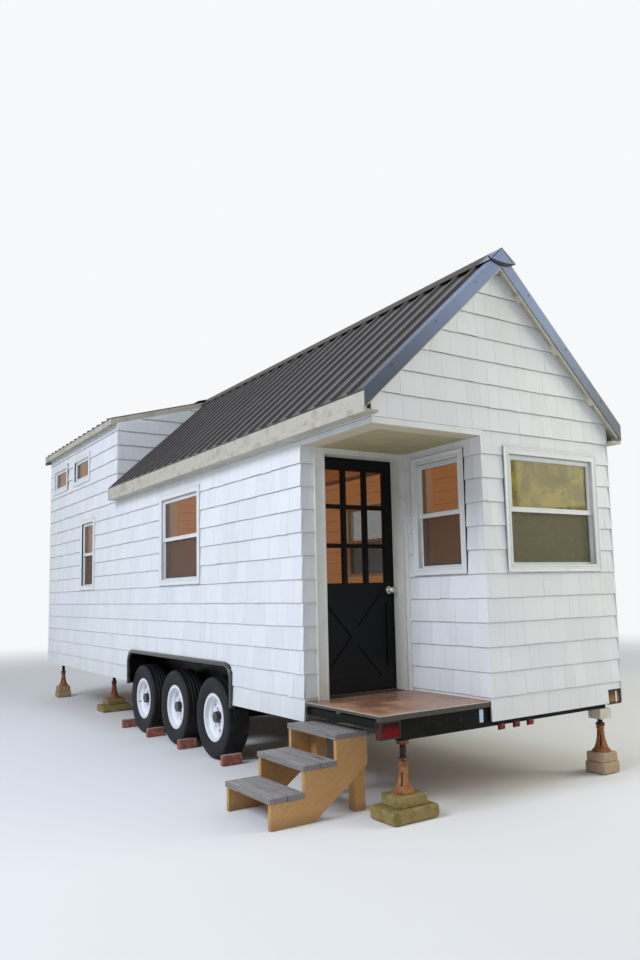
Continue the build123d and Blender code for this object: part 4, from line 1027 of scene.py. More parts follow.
def shingle_panels(origin, along, out, panels, seed):
    """Tapered shingles on one wall face.

    A panel is (low, high, left at low, left at high, right at low, right at high). In each course
    the joints come from one random row, and a shingle's thickness falls evenly from butt to tip.
    """
    sizes = settings("shingles")
    origin, along, out = (np.asarray(v, float) for v in (origin, along, out))
    up = np.array([0.0, 0.0, 1.0])
    corners, shades = [], []
    start = min(min(p[2:]) for p in panels)
    end = max(max(p[2:]) for p in panels)
    top = max(p[1] for p in panels)
    for course in range(int((top - sizes.first_butt) / sizes.exposure) + 1):
        butt_z = sizes.first_butt + course * sizes.exposure
        random = np.random.default_rng(sizes.seed + seed * 1000 + course)
        widths = random.uniform(sizes.narrow, sizes.wide, int((end - start) / sizes.narrow) + 2)
        joints = start + np.concatenate([[0.0], np.cumsum(widths)]) - random.uniform(0, sizes.wide)
        joints = joints[joints < end + sizes.wide]
        drop = random.normal(0, 0.0012, len(joints) - 1)
        extra = random.normal(0, 0.0006, len(joints) - 1)
        shade = random.uniform(0, 1, len(joints) - 1)
        for low, high, left_low, left_high, right_low, right_high in panels:
            z0, z1 = max(low, butt_z), min(high, butt_z + sizes.exposure)
            if z1 - z0 < 0.004:
                continue
            z = np.array([z0, z1])
            share = (z - low) / (high - low)
            left = left_low + (left_high - left_low) * share
            right = right_low + (right_high - right_low) * share
            a = np.clip(joints[:-1, None] + sizes.gap / 2, left, right)
            b = np.clip(joints[1:, None] - sizes.gap / 2, left, right)
            keep = ((b - a) > 0.006).any(1)
            a, b = a[keep], np.maximum(b[keep], a[keep])
            fall = 1 - (z - butt_z) / sizes.exposure
            depth = sizes.tip + (sizes.butt - sizes.tip) * fall + extra[keep][:, None] * fall
            lift = np.zeros((len(a), 2))
            if z0 == butt_z and z0 > low:
                lift[:, 0] = drop[keep]
            # Axes of the corners: shingle, height, depth, end
            ends = np.stack([a, b], -1)[:, :, None, :, None]
            rises = (z + lift)[:, :, None, None, None]
            depths = np.stack([np.full_like(depth, 0.0003), depth], -1)[:, :, :, None, None]
            corners.append((origin + along * ends + up * rises + out * depths).reshape(-1, 8, 3))
            shades.append(np.repeat(shade[keep], 8))
    return solids(np.concatenate(corners)), np.concatenate(shades)


def split_panels(low, high, start, end, holes):
    """A rectangle with holes (start, end, low, high), cut into level strips between them."""
    holes = [(max(h[0], start), min(h[1], end), h[2], h[3]) for h in holes if h[0] < end and h[1] > start]
    levels = sorted({low, high, *[min(max(v, low), high) for h in holes for v in h[2:]]})
    panels = []
    for z0, z1 in zip(levels[:-1], levels[1:]):
        middle = (z0 + z1) / 2
        left = start
        for hole_start, hole_end in sorted((h[0], h[1]) for h in holes if h[2] < middle < h[3]):
            if hole_start > left:
                panels.append((z0, z1, left, left, hole_start, hole_start))
            left = max(left, hole_end)
        if left < end:
            panels.append((z0, z1, left, left, end, end))
    return panels


def well_holes():
    """The wheel arch as a few stacked holes that follow its rounded corners."""
    base = WELL_TOP - WELL_CORNER
    holes = [(WELL[0], WELL[1], 0.0, base)]
    angles = np.radians([0, 30, 50, 70, 90])
    for a, b in zip(angles[:-1], angles[1:]):
        inset = WELL_CORNER * (1 - np.cos((a + b) / 2))
        low, high = base + WELL_CORNER * sin(a), base + WELL_CORNER * sin(b)
        holes.append((WELL[0] + inset, WELL[1] - inset, low, high))
    return holes


def window_hole(window):
    """A window's casing as (start, end, low, high) along the wall it is in."""
    middle, width, height, facing, _ = window
    along = middle[1] if facing[0] else middle[0]
    return along - width / 2, along + width / 2, middle[2] - height / 2, middle[2] + height / 2


def roof_under(across, slope, drop):
    """Height of a roof's underside at a distance across from the ridge."""
    return RIDGE - slope * across - drop


class TINYHOUSE_OT_shingles(bpy.types.Operator):
    """Cover the outer walls with painted shingles"""

    bl_idname = "tiny_house.shingles"
    bl_label = "Shingles"

    def execute(self, context):
        butt = settings("shingles").butt
        half = (X_RIGHT - X_LEFT) / 2
        wall_top = roof_under(half, ROOF_SLOPE, ROOF_DROP)
        dormer_top = roof_under(half, DORMER_SLOPE, DORMER_DROP)
        for name, wall_x, out, start in (("left", X_LEFT, -1, Y_DOOR), ("right", X_RIGHT, 1, Y_FRONT)):
            holes = [window_hole(w) for w in WINDOWS if w[3] == (out, 0, 0) and w[0][0] == wall_x]
            low_holes = [h for h in holes if h[2] < 3] + well_holes()
            panels = split_panels(SKIRT, SOFFIT, start - butt, Y_DORMER, low_holes)
            panels += split_panels(SKIRT, dormer_top, Y_DORMER, Y_REAR + butt, holes + well_holes())
            if name == "left":
                panels += [(CEILING, SOFFIT, Y_FRONT - butt, Y_FRONT - butt, Y_DOOR, Y_DOOR)]
            seed = 1 if out < 0 else 2
            shape, tone = shingle_panels((wall_x, 0, 0), (0, 1, 0), (out, 0, 0), panels, seed)
            piece(f"{name}_side_shingles", shape, "painted_shingle", tone=tone)

        tail_light = (X_RIGHT - TAIL_WIDE, X_RIGHT + butt, 0.0, TAIL_FREE)
        holes = [window_hole(WINDOWS[0]), tail_light]
        panels = split_panels(SKIRT, CEILING, X_BAY - butt, X_RIGHT + butt, holes)
        band_top = CEILING + BAND_HEIGHT
        panels.append((CEILING, band_top, X_BAY, X_BAY, X_RIGHT + butt, X_RIGHT + butt))
        panels.append((band_top, wall_top, X_LEFT - butt, X_LEFT - butt, X_RIGHT + butt, X_RIGHT + butt))
        panels.append((wall_top, RIDGE - ROOF_DROP, X_LEFT, X_MIDDLE, X_RIGHT, X_MIDDLE))
        shape, tone = shingle_panels((0, Y_FRONT, 0), (1, 0, 0), (0, -1, 0), panels, 3)
        piece("gable_shingles", shape, "painted_shingle", tone=tone)

        rear_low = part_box("rear_wall")[0].z
        holes = [window_hole(WINDOWS[2])]
        panels = split_panels(rear_low, dormer_top, X_LEFT - butt, X_RIGHT + butt, holes)
        panels.append((dormer_top, RIDGE - DORMER_DROP, X_LEFT, X_MIDDLE, X_RIGHT, X_MIDDLE))
        shape, tone = shingle_panels((0, Y_REAR, 0), (1, 0, 0), (0, 1, 0), panels, 4)
        piece("rear_shingles", shape, "painted_shingle", tone=tone)

        board = Y_CASING - CORNER_WIDTH
        panels = split_panels(DECK + 0.002, CEILING, Y_FRONT, board, [window_hole(WINDOWS[1])])
        first, tone_a = shingle_panels((X_BAY, 0, 0), (0, 1, 0), (-1, 0, 0), panels, 5)
        frame_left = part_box("door_frame")[0].x
        panels = split_panels(DECK + 0.002, CEILING, X_LEFT, frame_left, [])
        second, tone_b = shingle_panels((0, Y_DOOR, 0), (1, 0, 0), (0, -1, 0), panels, 6)
        both = np.concatenate([tone_a, tone_b])
        piece("porch_shingles", merge([first, second]), "painted_shingle", tone=both)

        shapes, shades = [], []
        for seed, out in ((7, -1), (8, 1)):
            edge = X_MIDDLE + out * half
            roof = RIDGE - ROOF_SLOPE * half
            inner = X_MIDDLE + out * (RIDGE - dormer_top) / ROOF_SLOPE
            drop = DORMER_DROP / (ROOF_SLOPE - DORMER_SLOPE)
            tip = X_MIDDLE + out * drop
            tip_z = RIDGE - ROOF_SLOPE * drop
            panels = [
                (roof, dormer_top, edge, edge, edge, inner),
                (dormer_top, tip_z, edge, tip, inner, tip),
            ]
            if out > 0:
                panels = [(*p[:2], *p[4:], *p[2:4]) for p in panels]
            shape, tone = shingle_panels((0, Y_DORMER, 0), (1, 0, 0), (0, -1, 0), panels, seed)
            shapes.append(shape)
            shades.append(tone)
        tone = np.concatenate(shades)
        piece("cheek_shingles", merge(shapes), "painted_shingle", tone=tone)

        strip = boxes([(X_LEFT - butt, Y_FRONT - BAND_PROUD, CEILING)], [(X_BAY, Y_FRONT, band_top)])
        piece("porch_band", strip, "white_trim")
        corner = boxes([(X_BAY - CORNER_PROUD, board, DECK)], [(X_BAY, Y_CASING, CEILING)])
        piece("porch_corner_board", corner, "white_trim")
        return {"FINISHED"}


# Roof


def rake_places(a, y0, y1, thick, long):
    """Corners of blocks hung under the overhang: middles a across the roof, each long by thick."""
    across = np.stack([np.maximum(a - long / 2, 0.002), a + long / 2], 1)
    under = roof_under(across, ROOF_SLOPE, ROOF_DROP)
    corners = []
    for out in (-1, 1):
        # Axes of the corners: block, height, depth, end
        block = np.zeros((len(a), 2, 2, 2, 3))
        block[..., 0] = X_MIDDLE + out * across[:, None, None, :]
        block[..., 1] = np.array([y0, y1])[:, None]
        block[..., 2] = under[:, None, None, :] - np.array([thick, 0.0])[:, None, None]
        corners.append(block.reshape(-1, 8, 3))
    return np.concatenate(corners)


class TINYHOUSE_OT_roof(bpy.types.Operator):
    """Fix the roof sheets with screws, close the ridge, and board the overhang of the front gable"""

    bl_idname = "tiny_house.roof"
    bl_label = "Roof fixings"

    def execute(self, context):
        roof = settings("roof")
        shapes = []
        ends = ((ROOF_SLOPE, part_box("left_roof")), (DORMER_SLOPE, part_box("left_dormer_roof")))
        for slope, (low, high) in ends:
            flat = 1 / sqrt(1 + slope**2)
            reach = X_MIDDLE - low.x
            # Screws beside the ribs: places along the house, and rows from near the ridge to the eave
            ys = np.arange(low.y + 0.20, high.y - 0.1, roof.rib)
            rows = np.linspace(0.22, reach - 0.06, roof.rows)
            for out in (-1, 1):
                y, x = np.meshgrid(ys, rows, indexing="ij")
                places = np.stack([X_MIDDLE + out * x, y, RIDGE - slope * x], -1).reshape(-1, 3)
                axis = (out * slope * flat, 0, flat)
                shapes.append(screw_heads(ROOF_HEAD, roof.screw, axis, places))
        piece("roof_screws", merge(shapes), "dark_sill", smooth=True, weld=True)

        # Screws in the face of the rake trim at either end, a little under its top edge
        shapes = []
        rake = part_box("rake_trim")
        across, under_edge = np.arange(0.30, 1.35, 0.43), 0.035
        for slope, y, out_y in ((ROOF_SLOPE, rake[0].y, -1), (DORMER_SLOPE, rake[1].y, 1)):
            for out in (-1, 1):
                height = RIDGE - slope * across - under_edge
                places = np.stack([X_MIDDLE + out * across, np.full(len(across), y), height], -1)
                shapes.append(screw_heads(ROOF_HEAD, roof.screw, (0, out_y, 0), places))
        piece("rake_screws", merge(shapes), "black_rubber", smooth=True, weld=True)

        # A thin plate closes the end of the ridge cap: straight falls above, a shallow bulge below
        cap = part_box("ridge_cap")
        x = np.linspace(cap[0].x, cap[1].x, 25)
        share = (x - X_MIDDLE) / (cap[1].x - X_MIDDLE)
        top = cap[1].z - 0.006 - 0.104 * np.abs(share)
        low = cap[1].z - 0.113 - 0.016 * (1 - share**2)
        at_end = np.full(len(x), cap[0].y)
        plate = band(np.stack([x, at_end, low], 1), np.stack([x, at_end, top], 1), (0, 0.0015, 0))
        piece("ridge_end_plate", plate, "trim_sheet")
        closure = band(
            np.stack([x, at_end + 0.003, low - 0.026 * (1 - share**2) - 0.001], 1),
            np.stack([x, at_end + 0.003, low + 0.004], 1),
            (0, 0.010, 0),
        )
        piece("ridge_closure_foam", closure, "black_rubber")

        # A board behind the rake trim, and short lookouts between it and the gable
        front, thick, overhang = rake[0].y + 0.009, 0.020, 0.090
        long = (X_RIGHT - X_LEFT) / 2 + overhang
        board = rake_places(np.array([long / 2]), front, front + thick, roof.board, long)
        middles = np.arange(0.22, 1.25, roof.lookout)
        lookouts = rake_places(middles, front + thick, Y_FRONT - 0.010, 0.030, 0.048)
        piece("rake_boards", solids(np.concatenate([board, lookouts])), "rake_board")
        return {"FINISHED"}


# Windows and door


class TINYHOUSE_OT_windows(bpy.types.Operator):
    """Mould the window casings, and add sash beads and insect screens"""

    bl_idname = "tiny_house.windows"
    bl_label = "Windows"

    def execute(self, context):
        beads, screens, frames = [], [], []
        casing = [
            (0.0, 0.0), (0.0, PROUD + 0.005), (0.003, PROUD + 0.007), (0.014, PROUD + 0.006),
            (0.019, PROUD + 0.002), (0.040, PROUD + 0.001), (0.044, PROUD + 0.005),
            (0.056, PROUD + 0.005), (CASING, PROUD - 0.002), (CASING, 0.0),
        ]  # fmt: skip
        for middle, width, height, out, slides in WINDOWS:
            out = np.array(out, float)
            along = np.cross((0, 0, 1), out)
            middle = np.array(middle, float)
            frames.append(moulding(middle, along, out, width, height, casing))
            open_w, open_h = width - 2 * CASING, height - 2 * CASING
            leaf = (open_h + 0.038) / 2
            sashes = [((open_h - leaf) / 2, leaf, 0.003), (-(open_h - leaf) / 2, leaf, 0.040)]
            if not slides:
                sashes = [(0.0, open_h, 0.003)]
            for rise, size, depth in sashes:
                bead = [
                    (0.024, -depth), (0.029, -depth + 0.004), (0.036, -depth + 0.002),
                    (0.041, -depth - 0.010), (0.024, -depth - 0.010),
                ]  # fmt: skip
                beads.append(moulding(middle + np.array([0, 0, rise]), along, out, open_w, size, bead))
            if slides:
                rise, size, _ = sashes[1]
                net = middle + np.array([0, 0, rise]) - out * 0.028
                rim = [(0.003, 0.0), (0.003, 0.008), (0.018, 0.008), (0.018, 0.0)]
                frames.append(moulding(net, along, out, open_w, size, rim))
                half = np.abs(along) * (open_w / 2 - 0.017) + np.array([0, 0, size / 2 - 0.017])
                ends = np.sort(np.stack([net - half, net + half + out * 0.0008]), 0)
                screens.append(boxes(ends[:1], ends[1:]))
        piece("window_beads", merge(beads), "window_vinyl")
        piece("window_casings", merge(frames), "window_vinyl")
        piece("insect_screens", merge(screens), "insect_screen")
        return {"FINISHED"}


class TINYHOUSE_OT_door(bpy.types.Operator):
    """Bead the door casing, and lay the threshold plate"""

    bl_idname = "tiny_house.door"
    bl_label = "Door trim"

    def execute(self, context):
        slab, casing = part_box("door_slab"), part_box("door_frame")
        wide, proud, reveal = 0.013, 0.007, 0.012
        left, right, top = slab[0].x + reveal, slab[1].x - reveal, slab[1].z - reveal
        y0, y1 = Y_CASING - proud, Y_CASING
        strips = [
            (left - wide, left, DECK, top + wide),
            (right, right + wide, DECK, top + wide),
            (left, right, top, top + wide),
            (casing[0].x, casing[0].x + wide, DECK, CEILING),
        ]
        lows = [(x0, y0, z0) for x0, _, z0, _ in strips]
        highs = [(x1, y1, z1) for _, x1, _, z1 in strips]
        piece("door_casing_beads", boxes(lows, highs), "white_trim")

        # The threshold plate rises from the deck in a low ramp, ribbed along its length
        depth = np.array([0.0, 0.006, 0.030, 0.034, 0.038, 0.042, 0.046, 0.050, 0.128])
        rise = np.array([0.0005, 0.003, 0.0035, 0.0055, 0.0035, 0.0055, 0.0035, 0.0055, 0.0035])
        y = Y_CASING + 0.002 + depth
        # Axes of the corners: strip, height, depth, end
        block = np.zeros((len(y) - 1, 2, 2, 2, 3))
        block[..., 0] = slab[0].x - 0.004, slab[1].x + 0.002
        block[..., 1] = np.stack([y[:-1], y[1:]], 1)[:, None, :, None]
        block[:, 0, ..., 2] = DECK
        block[:, 1, ..., 2] = DECK + np.stack([rise[:-1], rise[1:]], 1)[:, :, None]
        piece("threshold_plate", solids(block.reshape(-1, 8, 3)), "dark_sill")
        return {"FINISHED"}


# Trailer lights


class TINYHOUSE_OT_lights(bpy.types.Operator):
    """Rim the tail lights, and hang the clearance lights and reflector on the front beam"""

    bl_idname = "tiny_house.lights"
    bl_label = "Trailer lights"

    def execute(self, context):
        low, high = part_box("tail_lights")
        width, depth, height = TAIL_WIDE, high.y - low.y, high.z - low.z
        bar, border = 0.016, 0.012
        middle_z, middle_y = (low.z + high.z) / 2, (low.y + high.y) / 2
        rim = [(0.0, 0.0), (0.0, 0.003), (0.002, 0.004), (0.008, 0.004), (0.010, 0.0015), (0.010, 0.0)]
        wide_rim = [
            (0.0, 0.0), (0.0, 0.004), (0.002, 0.005), (0.016, 0.005), (0.018, 0.0015), (0.018, 0.0)
        ]  # fmt: skip
        rims = []
        for x, out, edge in ((low.x, -1, rim), (high.x, 1, wide_rim)):
            front = (x - out * width / 2, low.y, middle_z)
            rims.append(moulding(front, (1, 0, 0), (0, -1, 0), width, height, edge))
            rims.append(moulding((x, middle_y, middle_z), (0, 1, 0), (out, 0, 0), depth, height, rim))
        bar_x = high.x - width / 2 + border
        bars = boxes([(bar_x, low.y - 0.005, low.z + border)], [(bar_x + bar, low.y, high.z - border)])
        piece("tail_light_rims", merge(rims), "black_rubber")
        piece("tail_light_bar", bars, "window_vinyl")

        lenses, feet, middles = [], [], (0.1365, 0.2975, 0.4505)
        for number, x in enumerate(middles):
            ends = (x - 0.029, BEAM_FACE - 0.024, 0.503), (x + 0.029, BEAM_FACE - 0.003, 0.541)
            lenses.append(worn_block(*ends, 0.007, 0.0004, 40 + number, 9))
            ends = (x - 0.034, BEAM_FACE - 0.006, 0.498), (x + 0.034, BEAM_FACE, 0.556)
            feet.append(worn_block(*ends, 0.0025, 0.0002, 50 + number, 7))
        piece(
            "clearance_lenses", merge(lenses), "clearance_lens", smooth=True, weld=True
        )
        piece("clearance_feet", merge(feet), "black_rubber", weld=True)
        ends = (-0.085, BEAM_FACE - 0.005, 0.574), (-0.045, BEAM_FACE, 0.672)
        strip = worn_block(*ends, 0.0022, 0.0001, 60, 7)
        piece("beam_reflector", strip, "reflector_face", weld=True)
        return {"FINISHED"}


# Jacks, blocks, bricks and steps


def jack_bell(centre, slots):
    """A cast jack base: a flared bell whose wall is drawn in at upright slots.

    Radius falls from the foot to the collar along a curve; within a slot's arc and height it is
    6 mm less, and the tone attribute goes from 0 to 1 there.
    """
    heights = np.array([
        -3, 0, 10, 14, 20, 27, 36, 44, 47, 60, 75, 90, 110, 130, 138, 141, 160, 184, 188, 206, 212
    ]) / 1000  # fmt: skip
    curve_heights = [-3, 10, 14, 20, 40, 70, 110, 150, 184, 188, 206, 212]
    curve_radii = [78, 78, 74, 64, 54.5, 45, 36, 31, 29, 34, 34, 30]
    radius = np.interp(heights * 1000, curve_heights, curve_radii) / 1000
    steps, slot_half, slot_edge, slot_depth, bore = 96, 0.13, 0.02, 0.006, 0.024
    t = np.linspace(0, tau, steps, endpoint=False)
    turn = (t * slots / tau + 0.125) % 1
    arc = np.clip((slot_half - np.abs(turn - 0.5)) / slot_edge, 0, 1)
    tall = ((heights > 0.045) & (heights < 0.140)).astype(float)
    inside = arc[:, None] * tall[None]
    zero = np.zeros((steps, 1))
    radii = np.concatenate([zero, radius[None] - slot_depth * inside, np.full((steps, 1), bore), zero], 1)
    rises = np.concatenate([heights[:1], heights, heights[-1:], heights[-1:]])
    tone = np.concatenate([zero, inside, zero, zero], 1)
    return upright_turned(radii, rises, centre), tone.ravel()


def jack_thread(centre, low, high, pitch):
    """A screw with one thread: the radius at angle t and height a swings with sin(turns of a - t)."""
    a = np.arange(low, high, pitch / 6)
    steps, core, swing = 24, 0.0222, 0.0017
    t = np.linspace(0, tau, steps, endpoint=False)[:, None]
    wave = np.clip(1.5 * np.sin(tau * a[None] / pitch - t), -1, 1)
    zero = np.zeros((steps, 1))
    radii = np.concatenate([zero, core + swing * wave, zero], 1)
    return upright_turned(radii, np.concatenate([a[:1], a, a[-1:]]), (*centre, 0.0))


class TINYHOUSE_OT_supports(bpy.types.Operator):
    """Stand the house on slotted screw jacks and worn blocks, with bricks by the tyres"""

    bl_idname = "tiny_house.supports"
    bl_label = "Jacks and blocks"

    def execute(self, context):
        sizes = settings("supports")
        collar = [(0, 0), (0, 0.034), (0.003, 0.038), (0.023, 0.038), (0.026, 0.034), (0.026, 0)]
        head_height = 0.030
        head = [
            (0, 0), (0, 0.030), (0.006, 0.044), (0.009, 0.046), (0.027, 0.046), (head_height, 0.044),
            (head_height, 0),
        ]  # fmt: skip
        bells, bell_tones, threads, shades, blocks, clean = [], [], [], [], [], []
        for number, (x, y) in enumerate(JACKS):
            bell, tone = jack_bell((x, y, BLOCK_TOP), sizes.slots)
            bells.append(bell)
            bell_tones.append(tone)
            packed = number == PACKED_JACK
            top = BEAM_LOW - PACKER_HEIGHT if packed else BEAM_LOW
            threads.append(jack_thread((x, y), SCREW_LOW, top - 0.002, sizes.pitch))
            threads.append(turned(collar, (x, y, BLOCK_TOP + BELL_HEIGHT), (0, 0, 1), 6))
            shades += [0.0, 1.0]
            if not packed:
                threads.append(turned(head, (x, y, BEAM_LOW - head_height), (0, 0, 1), 24))
                shades.append(1.0)
            lower, upper = NARROW_BLOCKS if number in NARROW_JACKS else BROAD_BLOCKS
            for (half_x, half_y), z0, z1, seed in (
                (lower, 0.0, SLAB_TOP, 10 + number),
                (upper, SLAB_TOP - SLAB_LAP, BLOCK_TOP, 20 + number),
            ):
                ends = (x - half_x, y - half_y, z0), (x + half_x, y + half_y, z1)
                blocks.append(worn_block(*ends, sizes.rounding, sizes.wear, seed, 15))
                clean.append(NARROW_JACKS.get(number, 0.0))
        tone = np.concatenate(bell_tones)
        piece(
            "jack_bells", merge(bells), "rusty_iron", stands_for=["jack_bases"],
            smooth=True, tone=tone, weld=True,
        )  # fmt: skip
        piece(
            "jack_threads", merge(threads), "dark_screw", stands_for=["jack_screws"],
            tone=tones(threads, shades), weld=True,
        )  # fmt: skip
        piece(
            "worn_blocks", merge(blocks), "mossy_concrete",
            stands_for=["support_blocks"], smooth=True, tone=tones(blocks, clean), weld=True,
        )  # fmt: skip

        x, y = JACKS[PACKED_JACK]
        low = (x - PACKER_HALF, y - PACKER_HALF, BEAM_LOW - PACKER_HEIGHT)
        packer = worn_block(low, (x + PACKER_HALF, y + PACKER_HALF, BEAM_LOW), 0.004, 0.0010, 31, 9)
        piece("jack_packer", packer, "pale_block", weld=True)

        low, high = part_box("bricks")
        bricks = []
        for number, along in enumerate(BRICKS):
            middle = Y_FRONT + along
            ends = (low.x, middle - BRICK_HALF, 0.0), (high.x, middle + BRICK_HALF, high.z)
            bricks.append(worn_block(*ends, 0.006, 0.003, 70 + number, 13))
        piece(
            "loose_bricks", merge(bricks), "fired_brick", stands_for=["bricks"],
            smooth=True, weld=True,
        )  # fmt: skip
        return {"FINISHED"}


class TINYHOUSE_OT_steps(bpy.types.Operator):
    """Screw the treads down onto the stringers"""

    bl_idname = "tiny_house.steps"
    bl_label = "Step screws"

    def execute(self, context):
        # Three pairs of screws in each tread, their heads sunk a little in the wood
        places = [
            (nosing + away, y, top - 0.0020)
            for nosing, top in TREADS
            for away in (0.045, 0.140, 0.235)
            for y in (STEP_Y[0] + STRINGER / 2, STEP_Y[1] - STRINGER / 2)
        ]
        screws = screw_heads(WOOD_HEAD, 0.0050, (0, 0, 1), places)
        piece("tread_screws", screws, "dark_screw", weld=True)
        return {"FINISHED"}


# Wheels


def tyre_shape(centre):
    """A tyre: at angle t the section is a rounded band with four grooves and sipes on its shoulders.

    Section points go from bead to bead over the tread: x(s) is the distance from the middle plane,
    and the radius r(s) is less by a groove's depth where a groove line or a sipe crosses. The wall
    swells as a sine and meets the tread in a quarter circle, with two low ribs round it.
    """
    outer, half, bead, flange, rim, corner = 0.3945, 0.1115, 0.209, 0.237, 0.0885, 0.026
    side = np.linspace(0, 1, 22)
    wall_r = flange + (outer - 0.004 - corner - flange) * side
    wall_x = rim + (half - rim) * np.sin(pi * (0.08 + side * 0.50)) ** 0.8
    ribs, rib_width, rib_height = (0.263, 0.343), 0.0030, 0.0012
    rib = sum(np.exp(-(((wall_r - r) / rib_width) ** 2)) for r in ribs)
    wall_x = np.minimum(wall_x + rib_height * rib, half)
    turn = np.linspace(0, pi / 2, 7)[1:-1]
    bend_x = wall_x[-1] - corner + corner * np.cos(turn)
    bend_r = wall_r[-1] + corner * np.sin(turn)
    edge = wall_x[-1] - corner
    across = np.linspace(-edge, edge, 45)
    crown = outer - 0.004 * (across / edge) ** 2
    groove, groove_depth, groove_half = np.zeros_like(across), 0.007, 0.0045
    for line in (-0.052, -0.018, 0.018, 0.052):
        groove = np.maximum(groove, np.clip(1.4 - np.abs(across - line) / groove_half, 0, 1))
    x = np.concatenate([[rim], wall_x, bend_x, across[::-1], -bend_x[::-1], -wall_x[::-1], [-rim]])
    r = np.concatenate([[bead], wall_r, bend_r, crown[::-1], bend_r[::-1], wall_r[::-1], [bead]])
    spare = 1 + len(wall_x) + len(bend_x)
    g = np.concatenate([np.zeros(spare), groove[::-1], np.zeros(spare)])
    sipe = np.concatenate([np.zeros(spare - 4), np.full(4, 0.6), (np.abs(across) > 0.056)[::-1] * 1.0])
    sipe = np.concatenate([sipe, np.full(4, 0.6), np.zeros(spare - 4)])
    steps = 216
    t = np.linspace(0, tau, steps, endpoint=False)
    teeth = (np.arange(steps) % 3 == 0).astype(float)
    radius = r[None] - groove_depth * np.maximum(g[None], 0.6 * sipe[None] * teeth[:, None])
    points = np.stack(
        [np.broadcast_to(x, radius.shape), radius * np.cos(t)[:, None], radius * np.sin(t)[:, None]], -1
    )
    return (points + centre).reshape(-1, 3), grid_faces(steps, len(x), True, True)


class TINYHOUSE_OT_wheels(bpy.types.Operator):
    """Shape the tyres with their tread, and fit nuts and valves to the wheels"""

    bl_idname = "tiny_house.wheels"
    bl_label = "Wheels"

    def execute(self, context):
        nut = [(0.0, 0.0), (0.0, 0.0115), (0.015, 0.0115), (0.018, 0.0085), (0.020, 0.0)]
        valve = [
            (0.0, 0.0), (0.0, 0.0055), (0.006, 0.0042), (0.026, 0.0038), (0.036, 0.0046), (0.038, 0.0)
        ]  # fmt: skip
        nut_face, nut_circle, valve_face, valve_circle = 0.036, 0.083, 0.046, 0.196
        t = np.linspace(0, tau, 6, endpoint=False) + 0.3
        for side, number, (low, high) in WHEELS:
            centre = (np.array(low) + np.array(high)) / 2
            out = -1.0 if side == "left" else 1.0
            axis = (out, 0, 0)
            body = f"{side}_wheel_{number}"
            piece(
                f"tyre_tread_{side}_{number}", tyre_shape(centre), "tyre_rubber", body=body,
                stands_for=[f"tyre_{side}_{number}"], smooth=True,
            )  # fmt: skip
            faces = np.full(6, nut_face * out)
            ring = np.stack([faces, nut_circle * np.cos(t), nut_circle * np.sin(t)], -1)
            nuts = copies(turned(nut, (0, 0, 0), axis, 6), centre + ring)
            piece(f"wheel_nuts_{side}_{number}", nuts, "zinc", body=body, weld=True)
            angle = 0.9 + 1.7 * number
            foot = np.array([valve_face * out, valve_circle * cos(angle), valve_circle * sin(angle)])
            piece(
                f"valve_{side}_{number}", turned(valve, centre + foot, axis, 12), "black_rubber",
                body=body, smooth=True, weld=True,
            )  # fmt: skip
        return {"FINISHED"}


# Finishes of the CAD nodes


class TINYHOUSE_OT_finishes(bpy.types.Operator):
    """Give every CAD node its finish"""

    bl_idname = "tiny_house.finishes"
    bl_label = "Finishes"

    def execute(self, context):
        for name, nodes in NODE_LOOKS.items():
            for node in nodes.split():
                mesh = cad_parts[node].data
                mesh.materials.clear()
                mesh.materials.append(look(name))
        return {"FINISHED"}


# Stage


def studio_world(stage):
    """Even cool light from all round, with the backdrop's colour wherever the background is seen."""
    world = bpy.data.worlds.new("studio")
    s = Shader(world)
    light = s.add("Background", None, {"Color": (0.90, 0.94, 1.0), "Strength": stage.sky})
    backdrop = s.add("Background", None, {"Color": tuple(stage.backdrop), "Strength": 1.0})
    return s.end(s.add("MixShader", None, {0: s.seen(), 1: light, 2: backdrop}), "OutputWorld")


def lamp(name, place, size, power, tint):
    """A square lamp turned to the front half of the house."""
    data = bpy.data.lights.new(name, "AREA")
    data.energy = power
    data.size = size
    data.color = tint
    made = bpy.data.objects.new(name, data)
    made.location = place
    aim = Vector((0, -2, 1.5)) - Vector(place)
    made.rotation_euler = aim.to_track_quat("-Z", "Y").to_euler()
    bpy.context.scene.collection.objects.link(made)


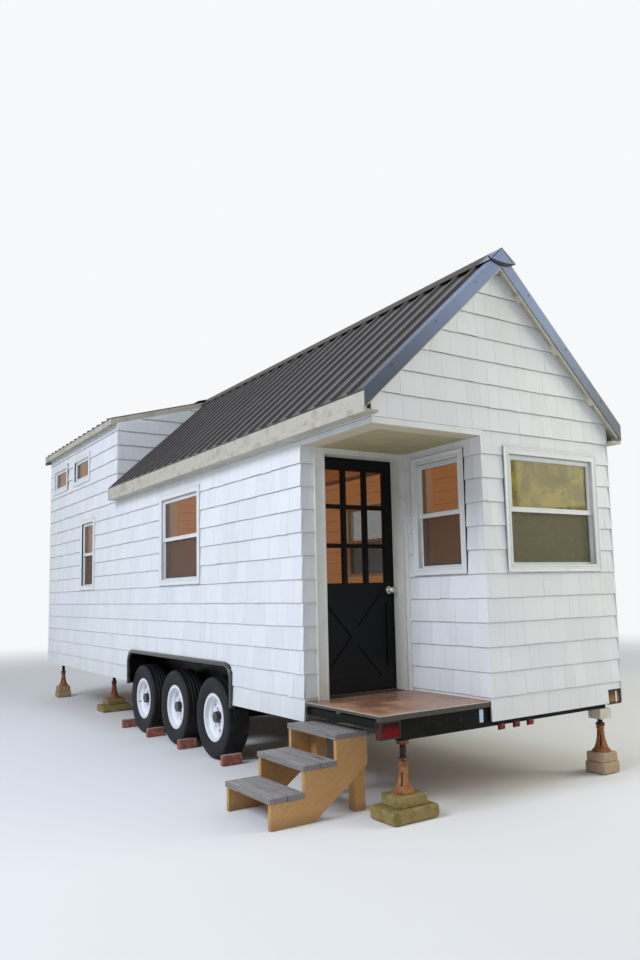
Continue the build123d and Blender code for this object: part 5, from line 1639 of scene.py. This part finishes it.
class TINYHOUSE_OT_stage(bpy.types.Operator):
    """Set the floor, the lamps, the world and the camera"""

    bl_idname = "tiny_house.stage"
    bl_label = "Stage"

    def execute(self, context):
        stage = settings("stage")
        scene = context.scene
        scene.view_settings.view_transform = "Standard"
        scene.world = studio_world(stage)

        # The floor's own shade goes over into the backdrop's colour between two distances
        reach, floor_z, fade_start, fade_end = 60, -0.002, 8.0, 20.0
        mesh = bpy.data.meshes.new("floor_sheet")
        corners = [(x * reach, y * reach, floor_z) for x, y in ((-1, -1), (1, -1), (1, 1), (-1, 1))]
        mesh.from_pydata(corners, [], [(0, 1, 2, 3)])
        floor = bpy.data.objects.new("floor_sheet", mesh)
        scene.collection.objects.link(floor)
        s = Shader(bpy.data.materials.new("pale_floor"))
        x, y = s.axis("X"), s.axis("Y")
        away = s.smooth(s.maths("SQRT", x * x + y * y), fade_start, fade_end)
        near = s.add("BsdfDiffuse", None, {"Color": tuple(stage.floor)})
        far = s.add("Emission", None, {"Color": tuple(stage.backdrop), "Strength": 1.0})
        mesh.materials.append(s.end(s.add("MixShader", None, {0: away * s.seen(), 1: near, 2: far})))

        lamp("key_lamp", (-12.5, -4.4, 11.0), 6.0, stage.key, (0.82, 0.885, 1.0))
        lamp("fill_lamp", (9.0, -9.5, 6.0), 6.0, stage.fill, (1.0, 0.97, 0.79))

        # The camera stands off the front left corner, as worked out from the edges in the photograph
        camera = bpy.data.objects.new("camera", bpy.data.cameras.new("camera"))
        camera.data.lens = 29.906
        camera.data.sensor_width = 36.0
        camera.data.shift_x = -0.0496
        camera.data.shift_y = 0.0216
        camera.data.clip_end = 500
        heading, pitch, roll = -0.6119, 0.1122, 0.0269
        turn = Matrix.Rotation(heading, 3, "Z") @ Matrix.Rotation(pitch, 3, "X")
        look_along = turn @ Matrix.Rotation(roll, 3, "Y") @ Matrix.Rotation(pi / 2, 3, "X")
        place = Vector((X_LEFT - 3.2792, Y_FRONT - 4.5897, 1.5915))
        camera.matrix_world = Matrix.Translation(place) @ look_along.to_4x4()
        scene.collection.objects.link(camera)
        scene.camera = camera
        return {"FINISHED"}


OPERATORS = (
    TINYHOUSE_OT_finishes,
    TINYHOUSE_OT_shingles,
    TINYHOUSE_OT_roof,
    TINYHOUSE_OT_windows,
    TINYHOUSE_OT_door,
    TINYHOUSE_OT_lights,
    TINYHOUSE_OT_supports,
    TINYHOUSE_OT_steps,
    TINYHOUSE_OT_wheels,
    TINYHOUSE_OT_stage,
)


class TINYHOUSE_PT_looks(bpy.types.Panel):
    """Lists the steps and their settings"""

    bl_idname = "TINYHOUSE_PT_looks"
    bl_label = "Tiny House"
    bl_space_type = "VIEW_3D"
    bl_region_type = "UI"
    bl_category = "Tiny House"

    def draw(self, context):
        for operator in OPERATORS:
            self.layout.operator(operator.bl_idname)
        for name in SETTINGS:
            group = getattr(context.scene, name)
            for prop in group.bl_rna.properties:
                if prop.identifier not in ("rna_type", "name"):
                    self.layout.prop(group, prop.identifier)


def register():
    for cls in (*SETTINGS.values(), *OPERATORS, TINYHOUSE_PT_looks):
        bpy.utils.register_class(cls)
    for name, cls in SETTINGS.items():
        setattr(bpy.types.Scene, name, PointerProperty(type=cls))


def unregister():
    for name in SETTINGS:
        delattr(bpy.types.Scene, name)
    for cls in reversed((*SETTINGS.values(), *OPERATORS, TINYHOUSE_PT_looks)):
        bpy.utils.unregister_class(cls)


def main():
    register()
    for operator in OPERATORS:
        step = operator.bl_idname.split(".")[1]
        getattr(bpy.ops.tiny_house, step)()


if __name__ == "__main__":
    main()
